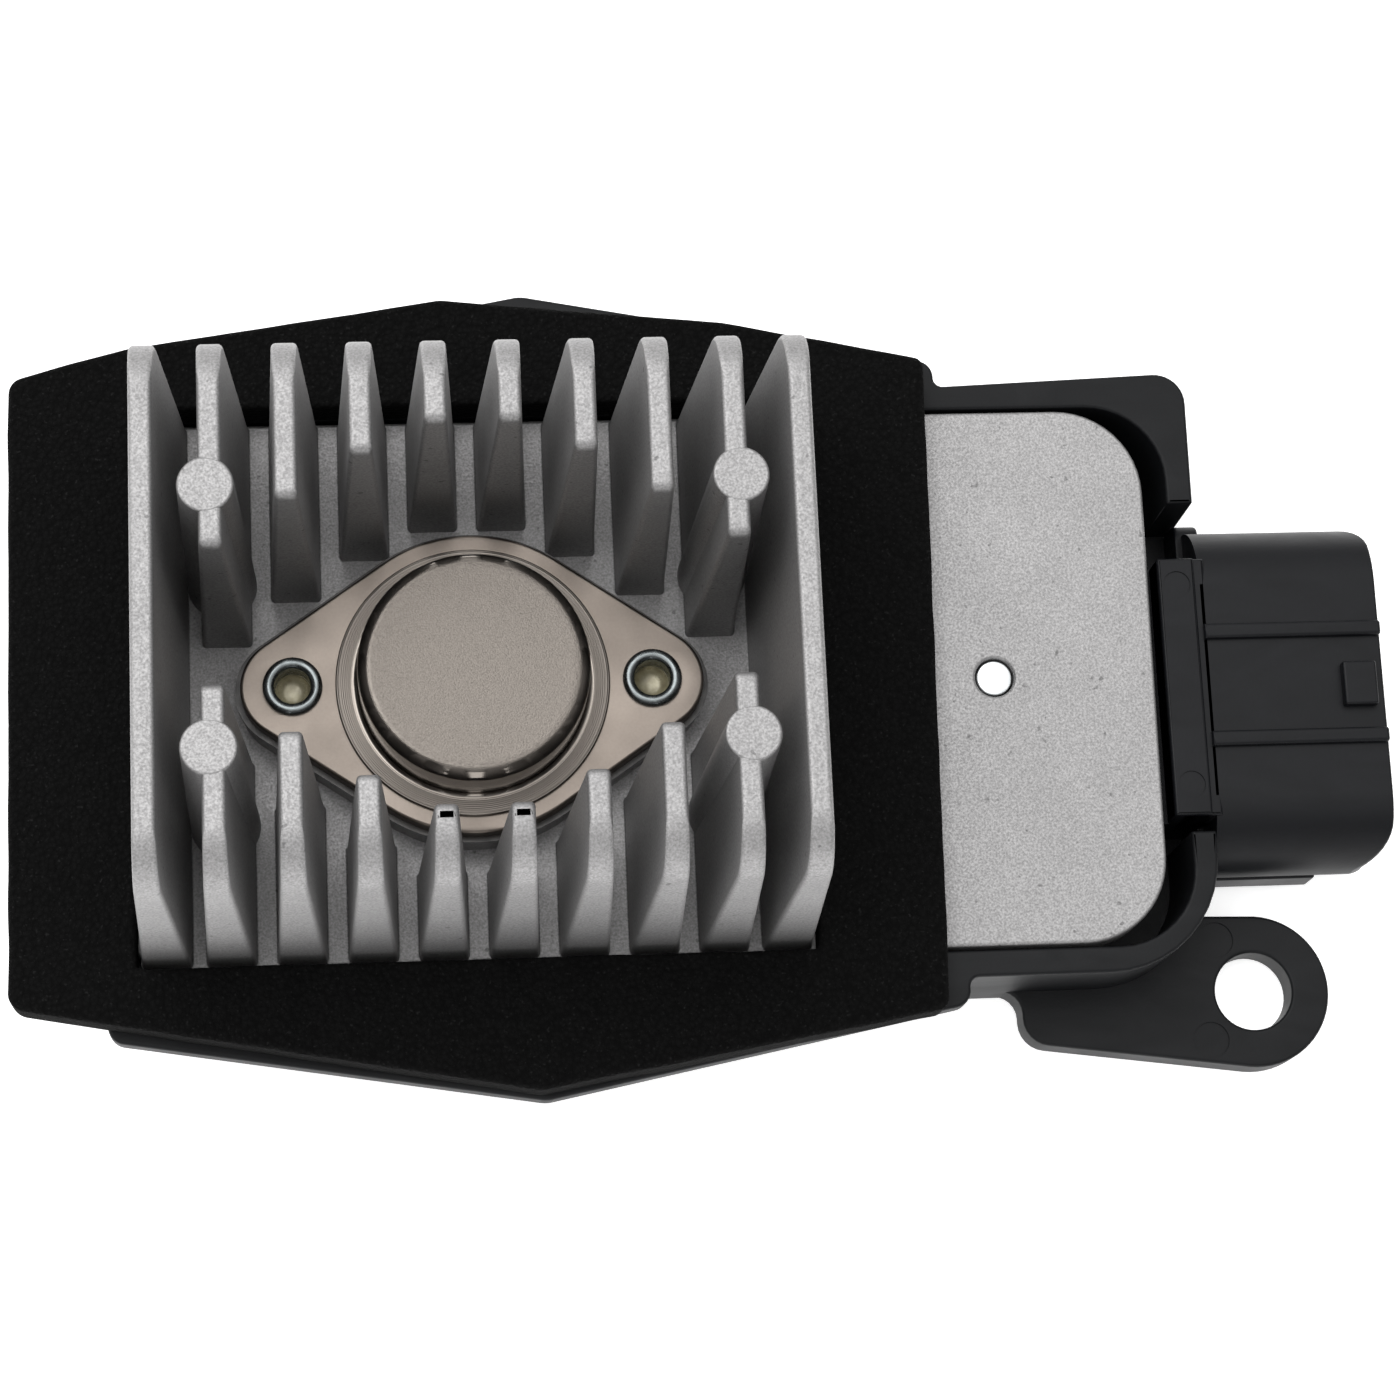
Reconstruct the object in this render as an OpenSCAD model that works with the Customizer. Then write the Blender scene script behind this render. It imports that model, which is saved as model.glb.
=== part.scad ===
// Blower motor control module: a can transistor on a finned die-cast heat sink,
// which closes a moulded housing that holds the circuit board, the connector and a screw ear.
// X runs along the module towards the connector, Z along the fins; the housing's back lies on Z = 0.

/* [Housing] */
// Length over the foam gasket and the connector
overall_length = 118.5; // [118:0.1:121]
// Depth of the housing from its back to its front face
housing_depth = 12.5; // [12.5:0.1:14]
// Thickness of the housing's floor
floor_thickness = 1.8; // [1.5:0.1:2]
// Height of the trough, outside
trough_height = 52.6; // [52:0.1:54]
// Right-hand wall of the trough, outside, from the centre of the module
trough_right = 43.55; // [43.05:0.1:44.05]
// Left-hand wall of the trough, outside, from the centre of the module
trough_left = -51.35; // [-51.95:0.1:-50.95]
// Thickness of the trough's walls
wall_thickness = 2.4; // [2:0.1:2.5]
// Thickness of the six-sided seal flange around the trough
flange_thickness = 2; // [1.5:0.1:3]
// Height of the seal flange from peak to peak
flange_height = 71; // [70:0.1:72]
// Right-hand end of the seal flange
flange_right = 21.15; // [20.05:0.1:22.05]

/* [Heat sink] */
// Height of the heat sink's base plate
plate_height = 47.6; // [46.6:0.1:48]
// Thickness of the base plate
plate_thickness = 3.5; // [3:0.1:4]
// Right-hand end of the base plate, at its upper corner
plate_right = 39.2; // [38.7:0.1:39.2]
// Height of the fins above the base plate
fin_height = 30; // [20:0.5:40]
// Distance between the inner fins
fin_pitch = 5.9; // [5.5:0.05:6]
// Distance from the last inner fin to the outermost one
outer_fin_step = 5.35; // [5:0.05:5.5]
// Thickness of a fin at its tip
fin_tip = 1.85; // [1:0.05:2.5]
// Thickness of a fin at its root
fin_root = 4.1; // [3:0.05:5]
// Diameter of a pillar's top
pillar_top = 4.45; // [4:0.05:5]
// Height of the raised seat under the transistor
seat_height = 4.2; // [3:0.1:5]

/* [Transistor] */
// Centre of the transistor along the module
transistor_x = -20.35; // [-20.95:0.1:-19.95]
// Centre of the transistor across the module
transistor_y = -1; // [-1.5:0.1:0]
// Distance between the two mounting holes
eyelet_spacing = 30.15; // [30:0.05:30.3]
// Width of the diamond flange at its waist
transistor_width = 25.8; // [25.2:0.1:26.6]
// Length of the diamond flange
transistor_length = 38.9; // [38.8:0.1:39.4]
// Thickness of the diamond flange
transistor_flange = 1.6; // [1.53:0.01:1.77]
// Diameter of the cap
cap_diameter = 19.3; // [19:0.1:20]
// Height of the cap above the diamond flange
cap_height = 6.5; // [5:0.1:6.9]

/* [Gasket] */
// Thickness of the foam gasket
foam_thickness = 3.8; // [3:0.1:6]

/* [Connector] */
// Centre of the connector across the module
connector_y = -1.6; // [-2:0.1:-1]
// Width of the shroud
shroud_width = 31; // [30:0.1:31.5]
// Thickness of the shroud's wall
shroud_wall = 1.3; // [1.2:0.1:1.5]
// Width of a power blade
power_blade = 4.8; // [4:0.1:4.8]
// Width of a signal blade
signal_blade = 1.4; // [1.2:0.1:1.5]
// Thickness of every blade
blade_thickness = 0.8; // [0.6:0.1:0.8]

/* [Screw ear] */
// Centre of the ear's hole along the module
ear_x = 47.55; // [47.05:0.1:49.05]
// Centre of the ear's hole across the module
ear_y = -26.9; // [-27.9:0.1:-26.9]
// Diameter of the ear's hole
ear_hole = 6.8; // [5:0.1:7]
// Outer radius of the ear around its hole
ear_radius = 6.7; // [6:0.1:7]
// Thickness of the ear
ear_thickness = 3.7; // [3:0.1:5]

/* [Circuit board] */
// Thickness of the circuit board
board_thickness = 1.6; // [1.2:0.1:1.6]
// Height of the board's underside above the housing's back
board_bottom = 5.6; // [5.4:0.1:5.6]
// Left-hand edge of the board
board_left = -45.95; // [-46.45:0.1:-44.95]
// Right-hand edge of the board
board_right = 34.55; // [34.05:0.1:35.05]
// Height of the board
board_height = 41; // [38:0.5:42]

/* [Hidden] */
$fn = 64;

overlap = 0.5;        // how far a raised feature is sunk into the body that it grows from
gap = 0.05;           // clearance around a pin or blade in its hole
corner_steps = 8;     // segments in a rounded corner
diamond_steps = 20;   // segments in each round part of the diamond flange

// Levels above the housing's back
face_z = housing_depth;
plate_bottom = face_z - plate_thickness;
tip_z = face_z + fin_height;
seat_z = face_z + seat_height;
washer_thickness = 0.2;
transistor_bottom = seat_z + washer_thickness;
transistor_top = transistor_bottom + transistor_flange;
board_top = board_bottom + board_thickness;

// Plan sizes of the trough and what closes it
trough_top = trough_height / 2;
flange_y = -0.1;      // middle of the seal flange across the module
trough_rise = 1;      // how much further the upper edge stands out at its right-hand end
trough_inner_right = trough_right - wall_thickness;
edge_gap = 0.3;       // between the base plate and the trough's wall
ledge_width = 1.5;    // ledge that carries the base plate
plate_left = trough_left + wall_thickness - edge_gap;
plate_y = 0.1;        // centre of the base plate across the module
plate_top = plate_y + plate_height / 2;
plate_low = plate_y - plate_height / 2;
plate_slant = 0.4;    // how far the plate's right-hand edge leans in at its lower end
connector_end = overall_length / 2;
foam_left = -overall_length / 2;

// Fins: distances from the transistor's centre line
inner_fins = [for (i = [-3.5 : 1 : 3.5]) i * fin_pitch];
outer_fin = 3.5 * fin_pitch + outer_fin_step;
fin_end_gap = 0.2;    // from the plate's edge to the end of a fin
fin_end_draft = 1.6;  // how far a fin's end leans in over its height
fin_end_radius = 4.5;
fin_inner_radius = 0.8;
well_draft = 0.4;
pillar_root = 5.8;
pillar_x = 21;
pillar_y = 10.5;
well_waist = 15.6;    // radius of the clear space around the transistor
well_lobe = 7.8;      // radius of the clear space around each eyelet

// Transistor
hole_x = eyelet_spacing / 2;
waist_radius = transistor_width / 2;
lobe_radius = transistor_length / 2 - hole_x;
lead_offset = 1.82;
lead_pitch = 10.92;
lead_radius = 0.76;
lead_end = transistor_bottom - 11.8;
glass_radius = 1.6;
can_wall = 0.6;
can_foot = 11.5;
can_foot_height = 0.45;
spreader = [[-7.6, -3.6], [1, 3.6]];
spreader_height = 0.9;
die_x = -3.1;
die_size = 6;
die_height = 0.35;
seat_edge = 0.2;      // of the raised seat beyond the diamond flange
washer_edge = 0.45;   // of the insulating washer beyond the diamond flange

// Eyelets
eyelet_outer = 1.95;
eyelet_inner = 1.5;
eyelet_head = 2.5;
eyelet_head_height = 0.55;
eyelet_hole = 2.05;
bushing_outer = 2.75;
eyelet_fill = 11;     // depth of the solder in a hollow rivet

// Screws through the housing's floor into the base plate
screw_places = [for (x = [-44.95, 32.55], y = [-18.5, 18.5]) [x, y]];
screw_radius = 1.45;
screw_head = 2.7;
screw_head_height = 1.8;
screw_tip = face_z - 0.9;
boss_radius = 3.6;

// Pin that joins the board to the base plate
rivet_x = 24.9;
rivet_y = -0.15;
rivet_radius = 1.55;
rivet_hole = 1.7;

// Connector
block_left = 38.2;        // under the base plate
block_face_left = 39.9;   // beside the base plate
block_face_right = trough_right - 0.4;
shroud_left = trough_right + gap;
shroud_end = connector_end;
shroud_top = face_z - 0.3;
shroud_bottom = 0.1;
shroud_end_radius = (shroud_top - shroud_bottom) / 2;
shroud_mid = (shroud_top + shroud_bottom) / 2;
header_wall = 3;
rib_width = 1.35;
rib_places = [3.5, -6.1];   // centre of each keying rib
rim_gap_top = 15.2;       // upper edge of the gap in the trough's right-hand wall
rim_gap_bottom = -14.2;   // lower edge of that gap
block_top = 10.2;
block_base = 6;           // level at which the block's upper parts start
block_bottom = -12.8;
sill_left = trough_right - 0.6;   // low wall that fills the gap on both sides of the block
sill_right = trough_right + 1.6;
sill_top = 6.4;
rail_end = 53.5;
latch = [[55.45, -3.5], [58.45, 0.4]];
blade_tip = connector_end - 3;
blade_z = shroud_mid;
leg_x = 30.55;
leg_width = 1.4;
// Centre of each blade across the module
battery_y = 6.9;
ground_y = -1.3;
motor_y = -9.5;
control_y = 3;
sense_y = -5.6;

// Small outline package under the board
chip_centre = [7.05, 9];
chip_size = [5, 4, 1.5];
pin_pitch = 1.27;

function unit(v) = v / norm(v);

// Points of an arc that replaces corner b between its neighbours a and c
function corner_arc(a, b, c, r) =
    r == 0 ? [b] :
    let (
        u = unit(a - b),
        v = unit(c - b),
        half = acos(u * v) / 2,
        centre = b + unit(u + v) * r / sin(half),
        first = b + u * r / tan(half) - centre,
        turn = sign(cross(u, v)) * (180 - 2 * half)
    )
    [for (i = [0 : corner_steps])
        let (t = -turn * i / corner_steps)
        centre + [first.x * cos(t) - first.y * sin(t), first.x * sin(t) + first.y * cos(t)]];

// Outline with each corner rounded to its own radius
module rounded_outline(points, radii) {
    n = len(points);
    polygon([for (i = [0 : n - 1])
        each corner_arc(points[(i + n - 1) % n], points[i], points[(i + 1) % n], radii[i])]);
}

function box_points(x0, x1, y0, y1) = [[x0, y0], [x1, y0], [x1, y1], [x0, y1]];

// Straight-sided block between two corners
module block(low, high) {
    translate(low) cube(high - low);
}

// Extrudes an outline that is drawn as (Y, Z) from x0 to x1
module along_x(x0, x1) {
    translate([x0, 0, 0]) rotate([90, 0, 90]) linear_extrude(x1 - x0) children();
}

// Extrudes an outline that is drawn as (X, Z) from y0 to y1
module along_y(y0, y1) {
    translate([0, y1, 0]) rotate([90, 0, 0]) linear_extrude(y1 - y0) children();
}

// Extrudes a plan outline between two levels
module between(z0, z1) {
    translate([0, 0, z0]) linear_extrude(z1 - z0) children();
}

// Moves to the transistor's centre
module at_transistor() {
    translate([transistor_x, transistor_y, 0]) children();
}

module at_eyelets() {
    at_transistor() for (side = [-1, 1]) translate([side * hole_x, 0, 0]) children();
}

module at_leads() {
    at_transistor() for (side = [-1, 1]) translate([lead_offset, side * lead_pitch / 2, 0]) children();
}

// Round waist and two round lobes joined by their tangents
module diamond(waist, lobe) {
    lean = acos((waist - lobe) / hole_x);
    polygon([
        for (
            arc = [[hole_x, lobe, -lean, lean], [0, waist, lean, 180 - lean],
                   [-hole_x, lobe, 180 - lean, 180 + lean], [0, waist, 180 + lean, 360 - lean]],
            i = [0 : diamond_steps]
        )
            let (t = arc[2] + (arc[3] - arc[2]) * i / diamond_steps)
            [arc[0] + arc[1] * cos(t), arc[1] * sin(t)]
    ]);
}

// Half height of the clear space around the transistor at distance x from its centre
function well_edge(x) =
    let (
        s = (well_waist - well_lobe) / hole_x,
        c = sqrt(1 - s * s)
    )
    x < well_waist * s ? sqrt(well_waist * well_waist - x * x) :
    x < hole_x + well_lobe * s ? (well_waist - x * s) / c :
    sqrt(well_lobe * well_lobe - (x - hole_x) * (x - hole_x));

// Drafted section of a fin, drawn as (X, Z)
module fin_section(x) {
    sunk = overlap * (fin_root - fin_tip) / 2 / fin_height;
    polygon([
        [x - fin_root / 2 - sunk, face_z - overlap],
        [x + fin_root / 2 + sunk, face_z - overlap],
        [x + fin_tip / 2, tip_z],
        [x - fin_tip / 2, tip_z],
    ]);
}

// Fin that runs the whole height of the base plate
module long_fin(x) {
    low = plate_low + fin_end_gap;
    high = plate_top - fin_end_gap;
    intersection() {
        along_y(plate_low, plate_top) fin_section(x);
        along_x(x - fin_root, x + fin_root)
            rounded_outline(
                [[low, face_z - overlap], [high, face_z - overlap],
                 [high - fin_end_draft, tip_z], [low + fin_end_draft, tip_z]],
                [0, 0, fin_end_radius, fin_end_radius]);
    }
}

// Pair of fins that stop short of the transistor, above and below it
module split_fin(offset_x) {
    x = transistor_x + offset_x;
    for (side = [-1, 1]) {
        inner = well_edge(abs(offset_x)) + side * transistor_y;
        outer = side * (side < 0 ? plate_low : plate_top) - fin_end_gap;
        mirror([0, side < 0 ? 1 : 0, 0]) intersection() {
            along_y(0, outer + fin_end_gap) fin_section(x);
            along_x(x - fin_root, x + fin_root)
                rounded_outline(
                    [[inner - well_draft, face_z - overlap], [outer, face_z - overlap],
                     [outer - fin_end_draft, tip_z], [inner, tip_z]],
                    [0, 0, fin_end_radius, fin_inner_radius]);
        }
    }
}

// Ejector pillars that stand among the fins
module pillars() {
    at_transistor() for (sx = [-1, 1], sy = [-1, 1])
        translate([sx * pillar_x, sy * pillar_y, face_z - overlap])
            cylinder(r1 = pillar_root / 2, r2 = pillar_top / 2, h = fin_height + overlap);
}

module heat_sink() {
    standoff_radius = 2.5;
    color([0.78, 0.77, 0.76]) difference() {
        union() {
            between(plate_bottom, face_z)
                rounded_outline(
                    [[plate_left, plate_low], [plate_right - plate_slant, plate_low],
                     [plate_right, plate_top], [plate_left, plate_top]],
                    [3, 7.5, 7.5, 3]);
            between(face_z - overlap, seat_z) at_transistor()
                diamond(waist_radius + seat_edge, lobe_radius + seat_edge);
            for (offset_x = inner_fins) split_fin(offset_x);
            for (side = [-1, 1]) long_fin(transistor_x + side * outer_fin);
            pillars();
            for (x = [-8.95, 11.05]) translate([x, 0, board_top])
                cylinder(r = standoff_radius, h = plate_bottom - board_top + overlap);
        }
        translate([0, 0, plate_bottom - 1]) {
            at_eyelets() cylinder(r = bushing_outer + gap, h = fin_height);
            at_leads() cylinder(r = 1.95, h = fin_height);
            translate([rivet_x, rivet_y, 0]) cylinder(r = rivet_hole, h = fin_height);
            for (p = screw_places) translate(p) cylinder(r = screw_radius + gap, h = 1 + screw_tip - plate_bottom + gap);
        }
    }
}

// Plan of the six-sided seal flange, whose lower left edge stands out a little further than the others
module flange_outline() {
    peak_x = (trough_left + flange_right) / 2;
    low = flange_y - flange_height / 2;
    high = flange_y + flange_height / 2;
    side = high - 6.8;
    rounded_outline(
        [[trough_left, low + 6.1], [peak_x, low], [flange_right, -side],
         [flange_right, side], [peak_x, high], [trough_left, side]],
        [1.5, 0, 1.5, 1.5, 0, 1.5]);
}

// Plan of the screw ear with the arm that joins it to the trough
module ear_outline() {
    arm_left = 26.95;
    fillet = 2;
    translate([ear_x, ear_y]) circle(ear_radius);
    rounded_outline(
        [[arm_left, -22], [arm_left, -30.8], [ear_x - 0.8, ear_y - ear_radius + 0.05],
         [ear_x + 0.6, ear_y + ear_radius - 0.03], [trough_right - 3, ear_y + ear_radius + 0.4]],
        [0, 2.5, 0, 0, 0]);
    // Fillet between the arm and the trough's wall
    translate([arm_left - fillet, -trough_top - fillet]) difference() {
        square(fillet + overlap);
        circle(fillet);
    }
}

module trough_outline() {
    rounded_outline(
        [[trough_left, -trough_top], [trough_right - 0.3, -trough_top], [trough_right, trough_top + trough_rise],
         [flange_right - 2, trough_top], [trough_left, trough_top]],
        [3, 10, 2.7, 0, 3]);
}

// Recess left by an ejector pin
module ejector_mark(place, top, radius) {
    translate([place.x, place.y, top - 0.12]) cylinder(r = radius, h = 1);
}

module housing() {
    inner_top = plate_top + edge_gap;
    inner_low = plate_low - edge_gap;
    inner_left = plate_left - edge_gap;
    color([0.18, 0.19, 0.2]) difference() {
        union() {
            between(0, face_z) trough_outline();
            between(face_z - flange_thickness, face_z) flange_outline();
            between(0, ear_thickness) ear_outline();
        }
        // Space that the base plate closes, and the deeper space for the board below its ledge
        difference() {
            union() {
                between(plate_bottom, face_z + 1)
                    rounded_outline(
                        box_points(inner_left, trough_inner_right, inner_low, inner_top),
                        [3.3, 6.8, 6.8, 3.3]);
                between(floor_thickness, face_z)
                    rounded_outline(
                        box_points(inner_left + ledge_width, trough_inner_right - 0.4,
                            inner_low + ledge_width, inner_top - ledge_width),
                        [2, 5.5, 5.5, 2]);
            }
            for (p = screw_places) translate(p) cylinder(r = boss_radius, h = plate_bottom);
        }
        // Gap in the right-hand wall for the connector
        block([plate_right - plate_slant, rim_gap_bottom, floor_thickness],
              [trough_right + 1, rim_gap_top, face_z + 1]);
        // Screws
        for (p = screw_places) translate([p.x, p.y, -1]) {
            cylinder(r = screw_radius + 0.15, h = housing_depth);
            cylinder(r = screw_head + 0.2, h = 1 + screw_head_height + 0.2);
        }
        translate([ear_x, ear_y, -1]) cylinder(d = ear_hole, h = ear_thickness + 2);
        ejector_mark([44.45, -22.3], ear_thickness, 1.6);
        ejector_mark([43.45, -31.1], ear_thickness, 1.6);
    }
}

module foam_gasket() {
    clear = 0.35;
    cut_half = outer_fin + fin_root / 2 + clear;
    color([0.06, 0.06, 0.06]) between(face_z, face_z + foam_thickness) difference() {
        rounded_outline(
            [[foam_left, 27.2], [-49, 30], [-22.2, 33.9], [2.25, 31.5], [19.85, 27.8],
             [18.8, -29.5], [-15.65, -35.3], [foam_left, -27.1]],
            [1.6, 6, 3, 10, 1, 1.2, 3, 1.6]);
        translate([transistor_x, 0])
            rounded_outline(
                box_points(-cut_half, cut_half, plate_low - clear, plate_top + clear),
                [0.5, 0.5, 0.5, 0.5]);
    }
}

// Cross-section of the shroud with half-round ends, drawn as (Y, Z)
module shroud_section(inset) {
    r = shroud_end_radius - inset;
    reach = shroud_width / 2 - shroud_end_radius;
    translate([connector_y, shroud_mid]) {
        for (side = [-1, 1]) translate([side * reach, 0]) circle(r);
        square([2 * reach, 2 * r], center = true);
    }
}

// Slots through the header for every blade
module blade_slots() {
    for (b = [[battery_y, power_blade], [ground_y, power_blade], [motor_y, power_blade],
              [control_y, signal_blade], [sense_y, signal_blade]])
        block([block_left - 1, b[0] - b[1] / 2 - gap, blade_z - blade_thickness / 2 - gap],
              [shroud_left + header_wall + 1, b[0] + b[1] / 2 + gap, blade_z + blade_thickness / 2 + gap]);
}

module connector_body() {
    color([0.2, 0.21, 0.23]) difference() {
        union() {
            // Block that fills the gap in the trough's wall and reaches under the base plate
            block([block_left, block_bottom, floor_thickness + gap],
                  [shroud_left + overlap, block_top, plate_bottom - 2 * gap]);
            block([block_face_left, block_bottom, block_base], [shroud_left + overlap, block_top, shroud_top]);
            block([block_face_left, block_bottom, block_base], [block_face_right, block_top, face_z]);
            along_x(sill_left, sill_right) rounded_outline(
                box_points(rim_gap_bottom + 0.1, rim_gap_top - 0.1, floor_thickness + gap, sill_top),
                [0, 0, 1.5, 1.5]);
            // Shroud with a rounded mouth
            intersection() {
                along_x(shroud_left, shroud_end) shroud_section(0);
                between(0, face_z)
                    rounded_outline(
                        box_points(shroud_left, shroud_end,
                            connector_y - shroud_width / 2, connector_y + shroud_width / 2),
                        [0, 3.5, 2.5, 0]);
            }
            // Keying ribs and the latch
            for (y = rib_places)
                block([shroud_left, y - rib_width / 2, shroud_mid], [connector_end, y + rib_width / 2, face_z + 0.3]);
            block([latch[0].x, latch[0].y, shroud_mid], [latch[1].x, latch[1].y, face_z + 0.7]);
            // Guide rib along the lower side
            block([shroud_left, connector_y - shroud_width / 2 - 0.1, 1.5], [rail_end, connector_y - 8, 5]);
        }
        along_x(shroud_left + header_wall, connector_end + 1) shroud_section(shroud_wall);
        blade_slots();
        for (y = [7.8, -10.1]) ejector_mark([41.5, y], face_z, 1.2);
    }
}

// Flat blade that steps up over the board's edge and turns down through it
module terminal(y, width) {
    t = blade_thickness;
    low = blade_z - t / 2;
    high = plate_bottom - 0.45;
    step_x = block_left - 1.6;
    color([0.8, 0.78, 0.72]) {
        block([step_x, y - width / 2, low], [blade_tip, y + width / 2, low + t]);
        along_y(y - leg_width / 2, y + leg_width / 2)
            polygon([
                [step_x + t, low], [step_x + t, high], [leg_x - t / 2, high], [leg_x - t / 2, board_bottom - 0.9],
                [leg_x + t / 2, board_bottom - 0.9], [leg_x + t / 2, high - t], [step_x, high - t], [step_x, low],
            ]);
    }
}

module transistor_base() {
    color([0.66, 0.62, 0.57]) between(transistor_bottom, transistor_top) difference() {
        at_transistor() diamond(waist_radius, lobe_radius);
        at_eyelets() circle(eyelet_hole);
        at_leads() circle(glass_radius);
    }
}

// Drawn can: turned wall with a welded foot
module transistor_cap() {
    r = cap_diameter / 2;
    bend = 1.2;
    color([0.72, 0.69, 0.65]) at_transistor() translate([0, 0, transistor_top])
        rotate_extrude($fn = 128) polygon(concat(
            [[r - can_wall, 0], [can_foot, 0], [can_foot, can_foot_height], [r + 0.35, can_foot_height],
             [r, can_foot_height + 0.35]],
            [for (a = [0 : 15 : 90]) [r - bend + bend * cos(a), cap_height - bend + bend * sin(a)]],
            [[0, cap_height], [0, cap_height - can_wall], [r - bend, cap_height - can_wall],
             [r - can_wall, cap_height - bend]]));
}

module transistor_leads() {
    color([0.75, 0.73, 0.7]) at_leads()
        translate([0, 0, lead_end]) cylinder(r = lead_radius, h = transistor_top + 2.2 - lead_end);
}

module glass_seals() {
    color([0.25, 0.4, 0.45]) between(transistor_bottom, transistor_top) at_leads() difference() {
        circle(glass_radius);
        circle(lead_radius);
    }
}

module heat_spreader() {
    color([0.75, 0.45, 0.3]) at_transistor()
        block([spreader[0].x, spreader[0].y, transistor_top],
              [spreader[1].x, spreader[1].y, transistor_top + spreader_height]);
}

module silicon_die() {
    z = transistor_top + spreader_height;
    color([0.3, 0.32, 0.38]) at_transistor()
        block([die_x - die_size / 2, -die_size / 2, z], [die_x + die_size / 2, die_size / 2, z + die_height]);
}

// Wires that arch from the die to the side of each lead
module bond_wires() {
    wire = 0.19;
    start = [-2, 1.5];
    finish = [lead_offset - lead_radius - 0.2, lead_pitch / 2 - 0.2];
    reach = norm(finish - start) / 2;
    z = transistor_top + spreader_height + die_height;
    color([0.85, 0.85, 0.86]) at_transistor() for (side = [-1, 1]) mirror([0, side < 0 ? 1 : 0, 0])
        translate([(start.x + finish.x) / 2, (start.y + finish.y) / 2, z])
            rotate([0, 0, atan2(finish.y - start.y, finish.x - start.x)]) rotate([90, 0, 0])
                rotate_extrude(angle = 180, $fn = 32) translate([reach, 0]) circle(wire, $fn = 16);
}

module insulating_washer() {
    color([0.75, 0.65, 0.45]) between(seat_z, transistor_bottom) difference() {
        at_transistor() diamond(waist_radius + washer_edge, lobe_radius + washer_edge);
        at_eyelets() circle(eyelet_hole);
        at_leads() circle(1.9);
    }
}

// Hollow rivets that clamp the transistor, the heat sink and the board together
module eyelet_rivets() {
    flare = 0.5;
    color([0.6, 0.64, 0.68]) at_eyelets() rotate_extrude() polygon([
        [eyelet_inner, board_bottom - flare], [eyelet_head, board_bottom - flare],
        [eyelet_head, board_bottom], [eyelet_outer, board_bottom],
        [eyelet_outer, transistor_top], [eyelet_head, transistor_top],
        [eyelet_head, transistor_top + eyelet_head_height * 0.6],
        [eyelet_head - 0.25, transistor_top + eyelet_head_height],
        [eyelet_inner + 0.15, transistor_top + eyelet_head_height],
        [eyelet_inner, transistor_top + eyelet_head_height * 0.4],
    ]);
}

module eyelet_bushings() {
    color([0.85, 0.83, 0.76]) between(board_top, seat_z) at_eyelets() difference() {
        circle(bushing_outer);
        circle(eyelet_outer + gap);
    }
}

module eyelet_solder() {
    color([0.7, 0.66, 0.52]) at_eyelets()
        translate([0, 0, board_bottom - 0.3]) cylinder(r = eyelet_inner, h = eyelet_fill);
}

module lead_sleeves() {
    color([0.9, 0.88, 0.8]) between(board_top + 0.1, seat_z - 0.1) at_leads() difference() {
        circle(1.85);
        circle(lead_radius + 0.1);
    }
}

module circuit_board() {
    half = board_height / 2;
    color([0.1, 0.32, 0.2]) between(board_bottom, board_top) difference() {
        rounded_outline(box_points(board_left, board_right, -half, half), [1, 1, 1, 1]);
        for (p = screw_places) translate(p) circle(boss_radius + 0.4);
        at_eyelets() circle(eyelet_outer + gap);
        at_leads() circle(lead_radius + gap);
        translate([rivet_x, rivet_y]) circle(rivet_radius + gap);
        for (y = [battery_y, ground_y, motor_y, control_y, sense_y])
            translate([leg_x, y]) square([blade_thickness + 2 * gap, leg_width + 2 * gap], center = true);
    }
}

module board_rivet() {
    color([0.82, 0.82, 0.82]) translate([rivet_x, rivet_y, 0]) {
        translate([0, 0, board_bottom - 0.9]) cylinder(r = 2.4, h = 0.9);
        translate([0, 0, board_bottom]) cylinder(r = rivet_radius, h = face_z - 0.3 - board_bottom);
    }
}

module driver_chip() {
    color([0.1, 0.1, 0.11]) translate([chip_centre.x, chip_centre.y, board_bottom - 0.1 - chip_size.z / 2])
        cube(chip_size, center = true);
}

module driver_chip_pins() {
    color([0.75, 0.75, 0.75]) for (side = [-1, 1], i = [-1.5 : 1 : 1.5])
        translate([chip_centre.x + i * pin_pitch, chip_centre.y, board_bottom]) mirror([0, side < 0 ? 1 : 0, 0])
            along_x(-0.2, 0.2) polygon([
                [chip_size.y / 2, -0.95], [chip_size.y / 2 + 0.55, -0.95], [chip_size.y / 2 + 0.55, -0.2],
                [chip_size.y / 2 + 1.1, -0.2], [chip_size.y / 2 + 1.1, 0], [chip_size.y / 2 + 0.35, 0],
                [chip_size.y / 2 + 0.35, -0.75], [chip_size.y / 2, -0.75],
            ]);
}

// Bridge of resistance strip that measures the motor current
module shunt_resistor() {
    color([0.62, 0.56, 0.48]) translate([15.05, -11, board_bottom]) along_y(-2.5, 2.5) polygon([
        [-7, 0], [-7, -0.8], [-4.5, -2.2], [4.5, -2.2], [7, -0.8], [7, 0],
        [5.2, 0], [5.2, -0.6], [4, -1.4], [-4, -1.4], [-5.2, -0.6], [-5.2, 0],
    ]);
}

// Row of equal chip parts under the board
module chip_row(first, step, count, size) {
    for (i = [0 : count - 1])
        translate([first.x + i * step - size.x / 2, first.y - size.y / 2, board_bottom - size.z]) cube(size);
}

module chip_resistors() {
    color([0.15, 0.15, 0.16]) {
        chip_row([-0.95, 14.5], 3.2, 5, [1.25, 2, 0.55]);
        chip_row([-0.95, 3], 3.2, 3, [1.25, 2, 0.55]);
    }
}

module chip_capacitors() {
    color([0.7, 0.58, 0.42]) {
        chip_row([16.55, 8], 3.4, 2, [1.6, 3.2, 1.1]);
        chip_row([-8.45, 14.5], 3.2, 2, [1.6, 3.2, 1.1]);
    }
}

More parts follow.
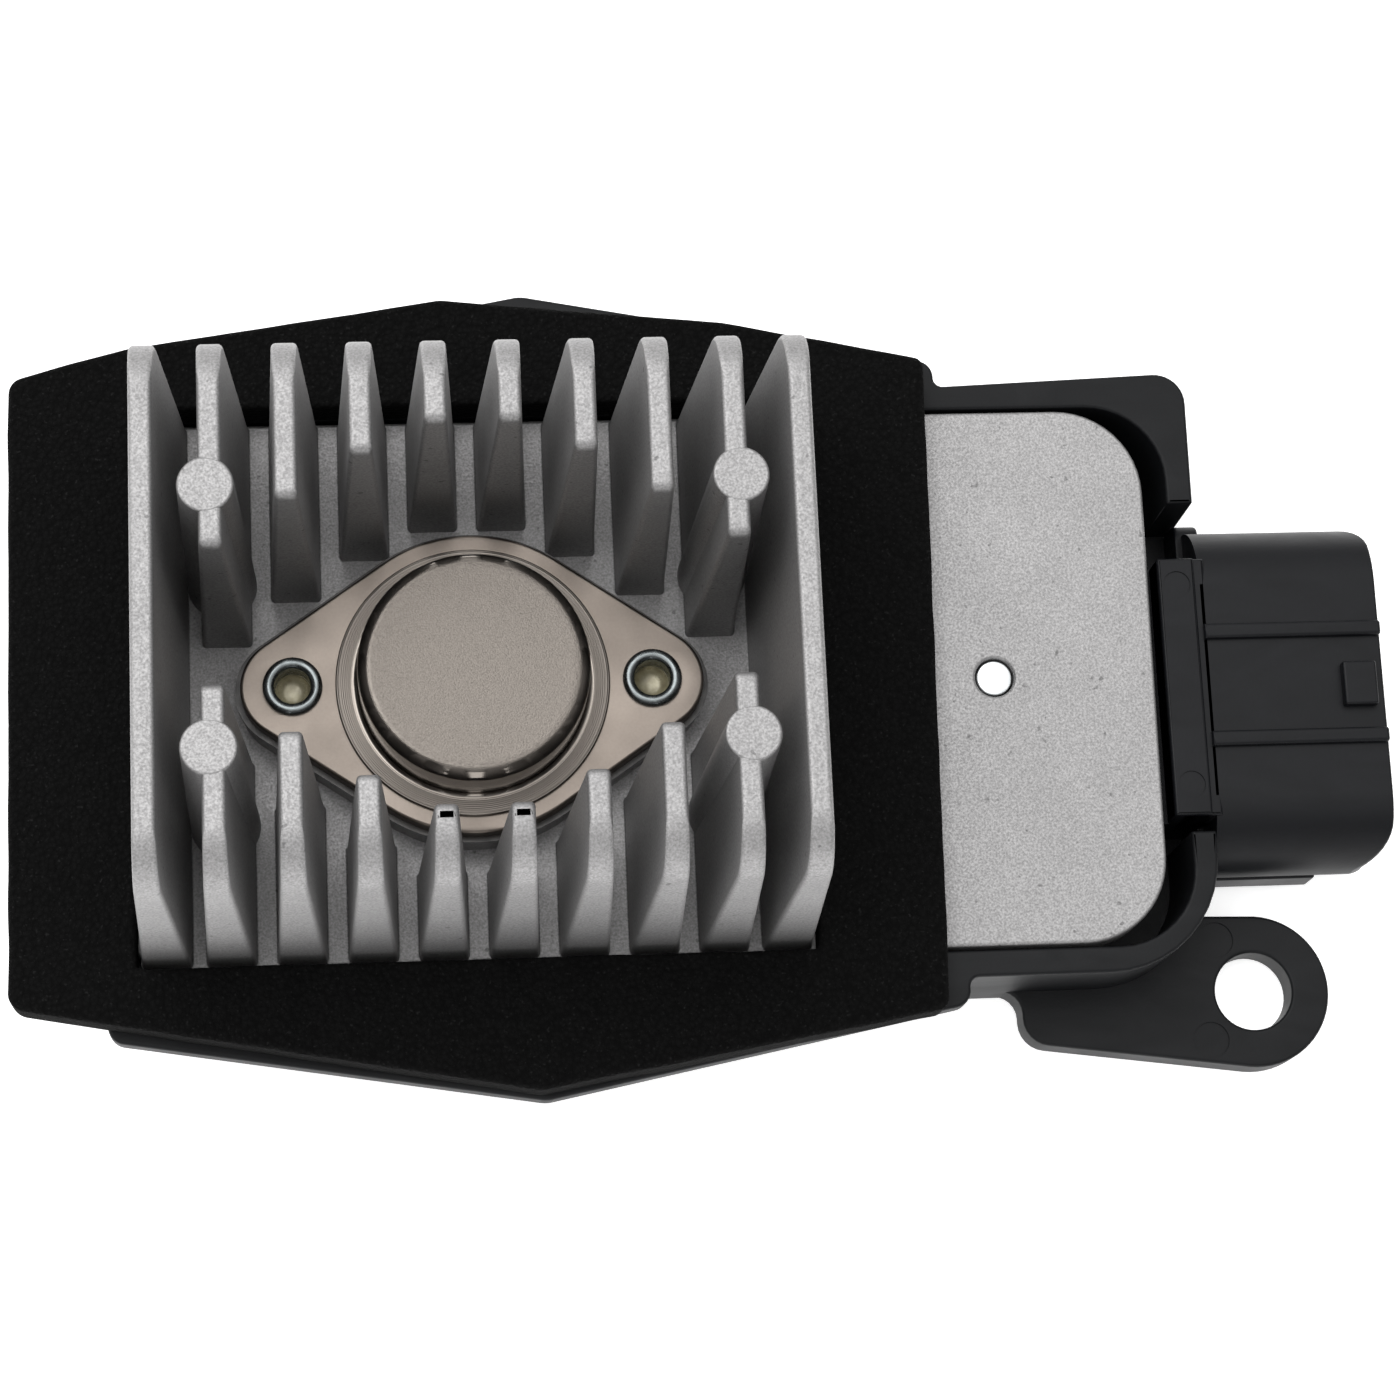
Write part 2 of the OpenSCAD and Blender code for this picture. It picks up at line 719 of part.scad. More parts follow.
module bulk_capacitors() {
    color([0.75, 0.6, 0.2]) chip_row([-3.95, -12], 6, 2, [4.3, 7.3, 2.9]);
}

module protection_diode() {
    color([0.12, 0.12, 0.13]) chip_row([23.05, 14], 1, 1, [7, 5.9, 2.3]);
}

// Solder cones where the leads and blades come through the board
module solder_joints() {
    h = 0.7;
    color([0.8, 0.8, 0.78]) {
        at_leads() translate([0, 0, board_bottom - h]) difference() {
            cylinder(r1 = 0.95, r2 = 1.9, h = h);
            translate([0, 0, -1]) cylinder(r = lead_radius, h = 3);
        }
        for (y = [battery_y, ground_y, motor_y, control_y, sense_y])
            translate([leg_x, y, board_bottom - h]) difference() {
                cylinder(r1 = 1, r2 = 1.9, h = h);
                cube([blade_thickness, leg_width, 3], center = true);
            }
    }
}

module housing_screws() {
    slot = 0.6;
    color([0.5, 0.5, 0.52]) for (p = screw_places) translate([p.x, p.y, 0.2]) difference() {
        union() {
            cylinder(r = screw_head, h = screw_head_height);
            cylinder(r = screw_radius, h = screw_tip - 0.2);
        }
        for (turn = [0, 90]) rotate(turn) cube([3.2, slot, 2], center = true);
    }
}

heat_sink();
housing();
foam_gasket();
connector_body();
terminal(battery_y, power_blade);  // battery_terminal
terminal(ground_y, power_blade);  // ground_terminal
terminal(motor_y, power_blade);  // motor_terminal
terminal(control_y, signal_blade);  // control_terminal
terminal(sense_y, signal_blade);  // sense_terminal
transistor_base();
transistor_cap();
transistor_leads();
glass_seals();
heat_spreader();
silicon_die();
bond_wires();
insulating_washer();
eyelet_rivets();
eyelet_bushings();
eyelet_solder();
lead_sleeves();
circuit_board();
board_rivet();
driver_chip();
driver_chip_pins();
shunt_resistor();
chip_resistors();
chip_capacitors();
bulk_capacitors();
protection_diode();
solder_joints();
housing_screws();
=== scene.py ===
"""Blower motor control module: a finned die-cast heat sink with a can transistor, on a moulded housing with a foam
gasket, a screw ear and a connector. It is laid out as an add-on, and builds every piece when it is run."""

from math import acos, copysign, cos, pi, radians, sin, sqrt
from types import SimpleNamespace

import bmesh
import bpy
from bpy.props import FloatProperty, FloatVectorProperty, PointerProperty
from mathutils import Euler, Matrix, Vector, noise
from mathutils.geometry import tessellate_polygon


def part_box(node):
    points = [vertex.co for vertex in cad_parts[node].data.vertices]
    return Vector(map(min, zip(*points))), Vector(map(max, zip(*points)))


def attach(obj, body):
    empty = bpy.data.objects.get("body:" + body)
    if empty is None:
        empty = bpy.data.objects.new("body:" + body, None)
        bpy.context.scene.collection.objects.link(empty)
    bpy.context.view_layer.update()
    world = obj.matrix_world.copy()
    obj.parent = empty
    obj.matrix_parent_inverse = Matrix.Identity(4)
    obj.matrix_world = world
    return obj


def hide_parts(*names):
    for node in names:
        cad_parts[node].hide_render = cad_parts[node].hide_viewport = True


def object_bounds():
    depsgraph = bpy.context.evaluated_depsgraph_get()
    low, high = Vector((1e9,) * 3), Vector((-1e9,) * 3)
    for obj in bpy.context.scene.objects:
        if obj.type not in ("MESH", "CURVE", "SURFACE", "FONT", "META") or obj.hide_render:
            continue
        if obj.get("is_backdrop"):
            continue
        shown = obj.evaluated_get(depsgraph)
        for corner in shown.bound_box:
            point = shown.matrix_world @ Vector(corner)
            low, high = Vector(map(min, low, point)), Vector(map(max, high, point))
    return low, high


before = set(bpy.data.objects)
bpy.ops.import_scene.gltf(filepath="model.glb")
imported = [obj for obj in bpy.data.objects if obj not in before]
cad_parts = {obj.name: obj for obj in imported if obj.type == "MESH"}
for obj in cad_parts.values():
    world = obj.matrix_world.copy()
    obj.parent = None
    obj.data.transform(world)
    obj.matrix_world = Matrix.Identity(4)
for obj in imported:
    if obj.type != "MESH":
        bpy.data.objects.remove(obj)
CAD_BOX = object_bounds()

bl_info = {
    "name": "Blower motor control module",
    "version": (1, 0, 0),
    "blender": (4, 5, 0),
    "location": "View3D > Sidebar > Module",
    "description": "Builds a blower motor control module around its packed frame",
    "category": "Object",
}

MM = 0.001  # one millimetre, in metres


def mm_box(node):
    """A CAD node's lowest and highest corners, in millimetres."""
    low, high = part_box(node)
    return low / MM, high / MM


# Levels and edges that the frame gives, in millimetres
SINK_LOW, SINK_HIGH = mm_box("heat_sink")
SHELL_LOW, SHELL_HIGH = mm_box("housing")
BASE_LOW, BASE_HIGH = mm_box("transistor_base")
CAP_HIGH = mm_box("transistor_cap")[1]
FOAM_LOW, FOAM_HIGH = mm_box("foam_gasket")
PLUG_LOW, PLUG_HIGH = mm_box("connector_body")
RIVET_LOW, RIVET_HIGH = mm_box("board_rivet")
CENTRE = (BASE_LOW + BASE_HIGH) / 2  # centre of the transistor
FACE = SHELL_HIGH.z  # front of the housing and of the heat sink's base plate


def linear(code):
    """A colour given as sRGB hex, as linear red, green, blue and alpha."""
    parts = [int(code[i : i + 2], 16) / 255 for i in (0, 2, 4)]
    return [c / 12.92 if c <= 0.04045 else ((c + 0.055) / 1.055) ** 2.4 for c in parts] + [1.0]


# Sizes and colours ---------------------------------------------------------------------------------------------


def length(name, text, value):
    """A length property, given in millimetres."""
    return FloatProperty(name=name, description=text, default=value * MM, unit="LENGTH", precision=5)


def tint(name, text, code):
    """A colour property, given as sRGB hex."""
    return FloatVectorProperty(name=name, description=text, default=linear(code), subtype="COLOR", size=4, min=0, max=1)


def brightness(name, text, value, most):
    """A brightness property, from nothing to its highest value."""
    return FloatProperty(name=name, description=text, default=value, min=0, max=most)


class SinkSizes(bpy.types.PropertyGroup):
    """Sizes of the heat sink"""

    pitch: length("Fin pitch", "Distance between the inner fins", 5.9)
    outer: length("Outer fin", "Distance from the transistor's centre to the outermost fins", 26.0)
    tip: length("Fin tip", "Thickness of a fin at its tip", 1.85)
    root: length("Fin root", "Thickness of a fin at its root", 4.1)
    edge: length("Edge", "Radius of the fins' edges", 0.4)
    end: length("Fin end", "Radius of the fins' outer tip corners", 4.5)
    lean: length("Fin lean", "How far a fin's outer end leans in over its height", 1.6)
    waist: length("Clear waist", "Radius of the clear space around the can", 15.6)
    lobe: length("Clear lobe", "Radius of the clear space around an eyelet", 7.8)
    pillar: length("Pillar", "Radius of a pillar's top", 2.25)
    plate: length("Plate", "Thickness of the base plate", 3.5)


class ShellSizes(bpy.types.PropertyGroup):
    """Sizes of the housing"""

    wall: length("Wall", "Thickness of the trough's walls", 2.4)
    floor: length("Floor", "Thickness of the floor", 1.8)
    flange: length("Flange", "Thickness of the seal flange", 2.0)
    edge: length("Edge", "Radius of the moulded edges", 0.3)
    ear: length("Ear", "Thickness of the screw ear", 3.7)
    hole: length("Ear hole", "Radius of the ear's hole", 3.4)


class PlugSizes(bpy.types.PropertyGroup):
    """Sizes of the connector"""

    width: length("Width", "Width of the shroud", 31.0)
    wall: length("Wall", "Thickness of the shroud's wall", 1.3)
    rib: length("Rib", "Thickness of a keying rib", 1.35)
    edge: length("Edge", "Radius of the moulded edges", 0.25)


class CanSizes(bpy.types.PropertyGroup):
    """Sizes of the transistor and its eyelets"""

    waist: length("Waist", "Radius of the flange at its waist", 12.9)
    lobe: length("Lobe", "Radius of the flange at its ends", 4.375)
    reach: length("Hole distance", "Distance from the centre to a mounting hole", 15.075)
    can: length("Can", "Radius of the can", 9.65)
    bend: length("Bend", "Radius of the can's upper edge", 1.2)
    lip: length("Eyelet lip", "Outer radius of an eyelet's rolled lip", 2.5)
    bore: length("Eyelet bore", "Inner radius of an eyelet", 1.5)


class Finishes(bpy.types.PropertyGroup):
    """Colours of the finishes"""

    casting: tint("Casting", "Blasted die-cast aluminium", "9C9B9B")
    flange: tint("Flange", "Nickel-plated steel of the transistor's flange", "766E67")
    can: tint("Can", "Nickel-plated steel of the can", "7C7670")
    zinc: tint("Eyelets", "Zinc-plated steel", "757A7B")
    shell: tint("Housing", "Glass-filled nylon", "0C0D0F")
    plug: tint("Connector", "Moulded polyester", "0B0C0F")
    foam: tint("Gasket", "Closed-cell foam", "0A0A0A")


class StudioSizes(bpy.types.PropertyGroup):
    """Light and floor"""

    softbox: FloatProperty(name="Softbox", description="Power of the overhead softbox", default=3.0, unit="POWER")
    sky: brightness("Overhead", "Brightness of the ceiling above the object", 2.1, 4)
    wall: brightness("Walls", "Brightness of the walls around it", 0.16, 4)
    glow: brightness("Floor glow", "Brightness of the lit floor panel", 0.6, 2)
    floor: tint("Floor", "Colour of the floor", "F4F4F4")


GROUPS = {
    "module_sink": SinkSizes,
    "module_shell": ShellSizes,
    "module_plug": PlugSizes,
    "module_can": CanSizes,
    "module_finish": Finishes,
    "module_studio": StudioSizes,
}


def sizes(name):
    """A property group's lengths, in millimetres."""
    group = getattr(bpy.context.scene, name)
    lengths = [k for k, p in group.bl_rna.properties.items() if p.type == "FLOAT" and not p.is_array]
    return SimpleNamespace(**{k: getattr(group, k) / MM for k in lengths})


# Nodes ---------------------------------------------------------------------------------------------------------


def add(tree, kind, inputs=None, **settings):
    """Adds a node with its settings; inputs gives each socket a value or another node's output."""
    node = tree.nodes.new(kind)
    for key, value in settings.items():
        setattr(node, key, value)
    for key, value in (inputs or {}).items():
        if isinstance(value, bpy.types.NodeSocket):
            tree.links.new(value, node.inputs[key])
        else:
            node.inputs[key].default_value = value
    return node


def surface(name, colour, roughness, metallic=0.0, **extra):
    """A new material with one shader, its object coordinates in metres, and the constants set on the shader."""
    material = bpy.data.materials.new(name)
    material.use_nodes = True
    tree = material.node_tree
    shader = tree.nodes["Principled BSDF"]
    constants = {"Base Color": colour, "Roughness": roughness, "Metallic": metallic}
    for key, value in {**constants, **extra}.items():
        shader.inputs[key].default_value = value
    coords = add(tree, "ShaderNodeTexCoord").outputs["Object"]
    return material, tree, shader, coords


def grain(tree, coords, size, detail=2.0, rough=0.5):
    """Noise whose grains are size millimetres across, from 0 to 1."""
    return add(
        tree,
        "ShaderNodeTexNoise",
        {"Vector": coords, "Scale": 1 / (size * MM), "Detail": detail, "Roughness": rough},
    ).outputs["Fac"]


def spread(tree, value, low, high, start=0.3, end=0.7):
    """A value between start and end, spread from low to high."""
    return add(
        tree,
        "ShaderNodeMapRange",
        {"Value": value, "From Min": start, "From Max": end, "To Min": low, "To Max": high},
    ).outputs["Result"]


def math(tree, operation, *values):
    """The result of one sum on values or sockets."""
    return add(tree, "ShaderNodeMath", dict(enumerate(values)), operation=operation).outputs["Value"]


def times(tree, a, b):
    """The product of two values or sockets."""
    return math(tree, "MULTIPLY", a, b)


def shade(tree, shader, colour, amount):
    """Multiplies a colour by a grey amount and feeds the shader's base colour."""
    mixed = add(tree, "ShaderNodeMix", {"Factor": 1.0}, data_type="RGBA", blend_type="MULTIPLY")
    if isinstance(colour, bpy.types.NodeSocket):
        tree.links.new(colour, mixed.inputs["A"])
    else:
        mixed.inputs["A"].default_value = colour
    tree.links.new(amount, mixed.inputs["B"])
    tree.links.new(mixed.outputs["Result"], shader.inputs["Base Color"])


def relief(tree, shader, height, depth):
    """Bumps the shader's surface by a height from 0 to 1 that stands for depth millimetres."""
    bump = add(tree, "ShaderNodeBump", {"Height": height, "Distance": depth * MM, "Strength": 1.0})
    tree.links.new(bump.outputs["Normal"], shader.inputs["Normal"])


# Finishes ------------------------------------------------------------------------------------------------------


def blasted_aluminium(colour):
    """Die-cast aluminium, shot-blasted: a light grey satin metal with a fine sparkle, dull patches and dark pits."""
    material, tree, shader, coords = surface("blasted_aluminium", colour, 0.6, 1.0)
    grit = grain(tree, coords, 0.19, 2.0)  # shot about 0.2 mm across
    patches = grain(tree, coords, 5.0, 3.0)
    pits = grain(tree, coords, 0.8, 1.0)
    tone = times(tree, spread(tree, grit, 0.8, 1.12), spread(tree, patches, 0.95, 1.03))
    tone = times(tree, tone, spread(tree, pits, 0.6, 1.0, 0.22, 0.27))
    shade(tree, shader, colour, tone)
    tree.links.new(spread(tree, grit, 0.66, 0.54), shader.inputs["Roughness"])
    relief(tree, shader, grit, 0.022)
    return material


def nickel_flange(colour):
    """Nickel on rolled steel: a warm satin metal with faint handling haze."""
    material, tree, shader, coords = surface("nickel_plated_flange", colour, 0.26, 1.0)
    haze = grain(tree, coords, 6.0, 4.0)
    fine = grain(tree, coords, 0.25, 2.0)
    shade(tree, shader, colour, times(tree, spread(tree, haze, 0.93, 1.05), spread(tree, fine, 0.96, 1.03)))
    tree.links.new(spread(tree, haze, 0.42, 0.34), shader.inputs["Roughness"])
    relief(tree, shader, fine, 0.003)
    return material


def nickel_can(colour):
    """Nickel on drawn steel: the top is sandy where the punch pressed it, and the drawn shoulder is bright."""
    material, tree, shader, coords = surface("nickel_plated_can", colour, 0.3, 1.0)
    to_centre = (-CENTRE.x * MM, -CENTRE.y * MM, 0)
    place = add(tree, "ShaderNodeMapping", {"Vector": coords, "Location": to_centre}).outputs[0]
    flat = add(tree, "ShaderNodeVectorMath", {0: place, 1: (1, 1, 0)}, operation="MULTIPLY").outputs["Vector"]
    radius = add(tree, "ShaderNodeVectorMath", {0: flat}, operation="LENGTH").outputs["Value"]
    sandy_to, bright_from, foot_from, foot_full, ring_step = 8.5 * MM, 9.0 * MM, 10.0 * MM, 10.3 * MM, 0.16 * MM
    top = spread(tree, radius, 1.0, 0.0, sandy_to, bright_from)
    foot = spread(tree, radius, 0.0, 1.0, foot_from, foot_full)
    sand = grain(tree, coords, 0.14, 3.0)
    # The welded foot is left with the fine rings of its electrode
    rings = math(tree, "SINE", times(tree, radius, 2 * pi / ring_step))
    rings = times(tree, math(tree, "ADD", times(tree, rings, 0.5), 0.5), foot)
    texture = math(tree, "ADD", times(tree, sand, top), times(tree, rings, 0.35))
    shade(tree, shader, colour, spread(tree, times(tree, sand, top), 1.05, 0.72, 0.25, 0.75))
    rough = math(tree, "ADD", spread(tree, top, 0.13, 0.46, 0, 1), times(tree, foot, 0.24))
    tree.links.new(rough, shader.inputs["Roughness"])
    relief(tree, shader, texture, 0.05)
    return material


def zinc_steel(colour):
    """Zinc plate on rolled steel: a cool, bluish metal with a soft shine."""
    material, tree, shader, coords = surface("zinc_plated_steel", colour, 0.25, 1.0)
    cloud = grain(tree, coords, 0.8, 3.0)
    shade(tree, shader, colour, spread(tree, cloud, 0.82, 1.08))
    tree.links.new(spread(tree, cloud, 0.32, 0.2), shader.inputs["Roughness"])
    relief(tree, shader, cloud, 0.004)
    return material


def moulded(name, colour, roughness, grit, depth):
    """Injection-moulded plastic: a dark, even surface with the mould's fine spark texture and faint flow clouds."""
    material, tree, shader, coords = surface(name, colour, roughness, **{"IOR": 1.53, "Specular IOR Level": 0.16})
    texture = grain(tree, coords, grit, 2.0)
    stretched = add(tree, "ShaderNodeMapping", {"Vector": coords, "Scale": (1.0, 2.2, 1.0), "Rotation": (0, 0, 0.5)})
    flow = add(
        tree,
        "ShaderNodeTexNoise",
        {"Vector": stretched.outputs[0], "Scale": 1 / (9 * MM), "Detail": 3.0, "Distortion": 1.2},
    ).outputs["Fac"]
    clouds = spread(tree, flow, 0.86, 1.16)
    shade(tree, shader, colour, times(tree, clouds, spread(tree, texture, 0.93, 1.07)))
    tree.links.new(spread(tree, flow, roughness + 0.05, roughness - 0.05), shader.inputs["Roughness"])
    relief(tree, shader, texture, depth)
    return material


def closed_cell_foam(colour):
    """Black closed-cell rubber foam, skived from a block: dead matt, with open cells, and single glints painted into
    its colour as light specks.
    """
    material, tree, shader, coords = surface("closed_cell_foam", colour, 1.0, **{"Specular IOR Level": 0.1})
    # Real cells are about 0.2 mm; they are drawn twice as wide, so that they show
    cells = add(tree, "ShaderNodeTexVoronoi", {"Vector": coords, "Scale": 1 / (0.42 * MM)}).outputs["Distance"]
    fine = grain(tree, coords, 0.3, 3.0, 0.7)
    # Painted highlights: random light specks added to the colour stand for glints off open cells
    painted_glints = spread(tree, grain(tree, coords, 0.26, 1.0), 0.0, 1.0, 0.66, 0.76)
    tone = math(tree, "ADD", spread(tree, cells, 1.25, 0.55, 0.1, 0.7), times(tree, painted_glints, 2.5))
    shade(tree, shader, colour, tone)
    relief(tree, shader, math(tree, "ADD", cells, times(tree, fine, 0.5)), 0.16)
    return material


def speckled(name, codes, size, roughness, metallic, depth, **extra):
    """A two-tone finish whose grains are size millimetres across."""
    material, tree, shader, coords = surface(name, linear(codes[0]), roughness, metallic, **extra)
    value = grain(tree, coords, size, 3.0)
    mixed = add(
        tree,
        "ShaderNodeMix",
        {"Factor": spread(tree, value, 0.0, 1.0), "A": linear(codes[0]), "B": linear(codes[1])},
        data_type="RGBA",
    )
    tree.links.new(mixed.outputs["Result"], shader.inputs["Base Color"])
    tree.links.new(spread(tree, value, roughness + 0.06, roughness - 0.06), shader.inputs["Roughness"])
    relief(tree, shader, value, depth)
    return material


# Mesh helpers --------------------------------------------------------------------------------------------------


def rounded(corners, steps=6):
    """A closed outline in millimetres from corners given as x, y and radius."""
    points, count = [], len(corners)
    for i, (x, y, r) in enumerate(corners):
        corner = Vector((x, y))
        if not r:
            points.append(corner)
            continue
        to_last = (Vector(corners[i - 1][:2]) - corner).normalized()
        to_next = (Vector(corners[(i + 1) % count][:2]) - corner).normalized()
        half = acos(max(-1, min(1, to_last.dot(to_next)))) / 2
        middle = corner + (to_last + to_next).normalized() * r / sin(half)
        first = corner + to_last * r / (sin(half) / cos(half)) - middle
        turn = copysign(pi - 2 * half, to_last.cross(to_next))
        points += [middle + Matrix.Rotation(-turn * k / steps, 2) @ first for k in range(steps + 1)]
    return points


def oblong(x0, x1, y0, y1, radii=0.0, steps=6):
    """A rectangle with rounded corners, anticlockwise from its lower left corner."""
    radii = [radii] * 4 if isinstance(radii, (int, float)) else radii
    places = [(x0, y0), (x1, y0), (x1, y1), (x0, y1)]
    return rounded([(*p, r) for p, r in zip(places, radii)], steps)


def ring(x, y, r, steps=48):
    """A circle, anticlockwise."""
    return [Vector((x + r * cos(2 * pi * k / steps), y + r * sin(2 * pi * k / steps))) for k in range(steps)]


def hole(loop):
    """An outline run clockwise, as a hole."""
    return list(reversed(loop))


def diamond(waist, lobe, reach, steps=20):
    """A round waist and two round lobes joined by their tangents, about the transistor's centre."""
    turn = acos((waist - lobe) / reach)
    points = []
    for x, r, start, end in (
        (reach, lobe, -turn, turn),
        (0, waist, turn, pi - turn),
        (-reach, lobe, pi - turn, pi + turn),
        (0, waist, pi + turn, 2 * pi - turn),
    ):
        for k in range(steps + 1):
            a = start + (end - start) * k / steps
            points.append(Vector((CENTRE.x + x + r * cos(a), CENTRE.y + r * sin(a))))
    return points


def inset(loop, depth):
    """An outline moved towards the solid, which lies on its left."""
    if not depth:
        return loop
    moved, count = [], len(loop)
    for i, point in enumerate(loop):
        last = (point - loop[i - 1]).normalized()
        after = (loop[(i + 1) % count] - point).normalized()
        a, b = Vector((-last.y, last.x)), Vector((-after.y, after.x))
        moved.append(point + (a + b) * depth / max(0.3, 1 + a.dot(b)))
    return moved


def upright(x, y, z):
    """Places a plan outline's point, in metres."""
    return Vector((x, y, z)) * MM


def lengthwise(y, z, x):
    """Places a point of a cross-section along X, in metres."""
    return Vector((x, y, z)) * MM


def upside_down(x, y, z):
    """Places a point of a piece that is built from its head down, in metres."""
    return Vector((x, -y, -z)) * MM


def ladder(bm, rungs):
    """Walls between outlines with equal numbers of vertices."""
    for a, b in zip(rungs, rungs[1:]):
        for i in range(len(a)):
            j = (i + 1) % len(a)
            bm.faces.new((a[i], a[j], b[j], b[i]))


def cover(bm, outlines, vertices, facing_up):
    """Closes flat outlines, the holes among them, with triangles."""
    plan = [p for loop in outlines for p in loop]
    corners = [v for loop in vertices for v in loop]
    for i, j, k in tessellate_polygon([[p.to_3d() for p in loop] for loop in outlines]):
        area = (plan[j] - plan[i]).cross(plan[k] - plan[i])
        if abs(area) < 1e-9:
            continue
        order = (i, j, k) if (area > 0) == facing_up else (k, j, i)
        bm.faces.new([corners[n] for n in order])


def slab(bm, loops, low, high, soft=(0, 0), wells=(), place=upright, steps=3):
    """A plate between two levels, in millimetres. The outline comes first and its holes follow. Soft gives the radius
    of the lower and upper edges, and wells are blind holes in the top, each an outline and a depth."""
    arc = [radians(90 * k / steps) for k in range(steps + 1)]
    levels = [(soft[0] * (1 - sin(a)), low + soft[0] * (1 - cos(a))) for a in (arc if soft[0] else arc[-1:])]
    levels += [(soft[1] * (1 - sin(a)), high - soft[1] * (1 - cos(a))) for a in reversed(arc if soft[1] else arc[-1:])]
    if not soft[0]:
        levels[0] = (0, low)
    if not soft[1]:
        levels[-1] = (0, high)
    plans, walls = [], []
    for loop in loops:
        plans.append([inset(loop, depth) for depth, _ in levels])
        walls.append([[bm.verts.new(place(p.x, p.y, z)) for p in plan] for plan, (_, z) in zip(plans[-1], levels)])
        ladder(bm, walls[-1])
    cover(bm, [p[0] for p in plans], [w[0] for w in walls], False)
    tops, rims = [p[-1] for p in plans], [w[-1] for w in walls]
    for loop, depth in wells:
        sides = [[bm.verts.new(place(p.x, p.y, z)) for p in loop] for z in (high - depth, high)]
        ladder(bm, sides)
        cover(bm, [loop], [sides[0]], True)
        tops.append(loop)
        rims.append(sides[1])
    cover(bm, tops, rims, True)


def skin(bm, rungs, joined=False):
    """Walls between outlines of points in metres, closed by flat ends or joined from the last to the first."""
    made = [[bm.verts.new(p) for p in rung] for rung in rungs]
    ladder(bm, made + made[:1] if joined else made)
    if not joined:
        bm.faces.new(list(reversed(made[0])))
        bm.faces.new(made[-1])


def lathe(bm, profile, x=0.0, y=0.0, steps=64, joined=False):
    """A turned solid from a profile of radius and height, run up its outside, in millimetres."""
    skin(bm, [[upright(p.x, p.y, z) for p in ring(x, y, r, steps)] for r, z in profile], joined)


def bend(x, y, r, start, end, steps=6):
    """Points of an arc between two angles in degrees."""
    return [
        (x + r * cos(radians(a)), y + r * sin(radians(a)))
        for a in (start + (end - start) * k / steps for k in range(steps + 1))
    ]


SHARP = radians(40)  # edges that turn by more than this stay sharp


def piece(name, bm, material):
    """A new object from a bmesh, smooth except at its sharp edges."""
    bmesh.ops.remove_doubles(bm, verts=bm.verts, dist=1e-7)
    for face in bm.faces:
        face.smooth = True
    mesh = bpy.data.meshes.new(name)
    bm.to_mesh(mesh)
    bm.free()
    mesh.set_sharp_from_angle(angle=SHARP)
    obj = bpy.data.objects.new(name, mesh)
    bpy.context.scene.collection.objects.link(obj)
    mesh.materials.append(material)
    return obj


def settle(obj):
    """Makes an object's modifiers part of its mesh."""
    graph = bpy.context.evaluated_depsgraph_get()
    mesh = bpy.data.meshes.new_from_object(obj.evaluated_get(graph), preserve_all_data_layers=True, depsgraph=graph)
    obj.modifiers.clear()
    old, obj.data = obj.data, mesh
    bpy.data.meshes.remove(old)
    mesh.name = obj.name
    return obj


def hand_over(obj, slot, *nodes):
    """Evens a finished piece's normals, and gives it to the frame in place of CAD nodes."""
    even = obj.modifiers.new("even", "WEIGHTED_NORMAL")
    even.keep_sharp = True
    even.weight = 90
    settle(obj)
    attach(obj, "root")
    if nodes:
        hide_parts(*nodes)
    return obj


# Node groups ---------------------------------------------------------------------------------------------------


def group_tree(name, inputs):
    """A new geometry group with named inputs, and its input and output nodes."""
    tree = bpy.data.node_groups.new(name, "GeometryNodeTree")
    tree.interface.new_socket("Geometry", in_out="INPUT", socket_type="NodeSocketGeometry")
    for label, kind in inputs.items():
        tree.interface.new_socket(label, in_out="INPUT", socket_type="NodeSocket" + kind)
    tree.interface.new_socket("Geometry", in_out="OUTPUT", socket_type="NodeSocketGeometry")
    return tree, add(tree, "NodeGroupInput").outputs


def line_of_points(tree, count, step, axis):
    """Evenly spaced points along an axis, centred on the origin."""
    gaps = times(tree, math(tree, "SUBTRACT", count, 1), -0.5)
    start = add(tree, "ShaderNodeCombineXYZ", {axis: times(tree, gaps, step)}).outputs[0]
    offset = add(tree, "ShaderNodeCombineXYZ", {axis: step}).outputs[0]
    return add(tree, "GeometryNodeMeshLine", {"Count": count, "Start Location": start, "Offset": offset}).outputs[0]


def close_tree(tree, geometry, material):
    """Realizes a group's instances, gives them their material and joins them to the output."""
    real = add(tree, "GeometryNodeRealizeInstances", {0: geometry})
    painted = add(tree, "GeometryNodeSetMaterial", {"Geometry": real.outputs[0], "Material": material})
    add(tree, "NodeGroupOutput", {0: painted.outputs[0]})


def rows_tree():
    """Copies of one shape in rows and columns about a centre."""
    tree = bpy.data.node_groups.get("Rows of copies")
    if tree:
        return tree
    tree, given = group_tree(
        "Rows of copies",
        {
            "Columns": "Int",
            "Column step": "Float",
            "Rows": "Int",
            "Row step": "Float",
            "Centre": "Vector",
            "Material": "Material",
        },
    )
    shape = given["Geometry"]
    for count, step, axis in (("Columns", "Column step", "X"), ("Rows", "Row step", "Y")):
        line = line_of_points(tree, given[count], given[step], axis)
        shape = add(tree, "GeometryNodeInstanceOnPoints", {"Points": line, "Instance": shape}).outputs[0]
    moved = add(tree, "GeometryNodeTransform", {"Geometry": shape, "Translation": given["Centre"]})
    close_tree(tree, moved.outputs[0], given["Material"])
    return tree


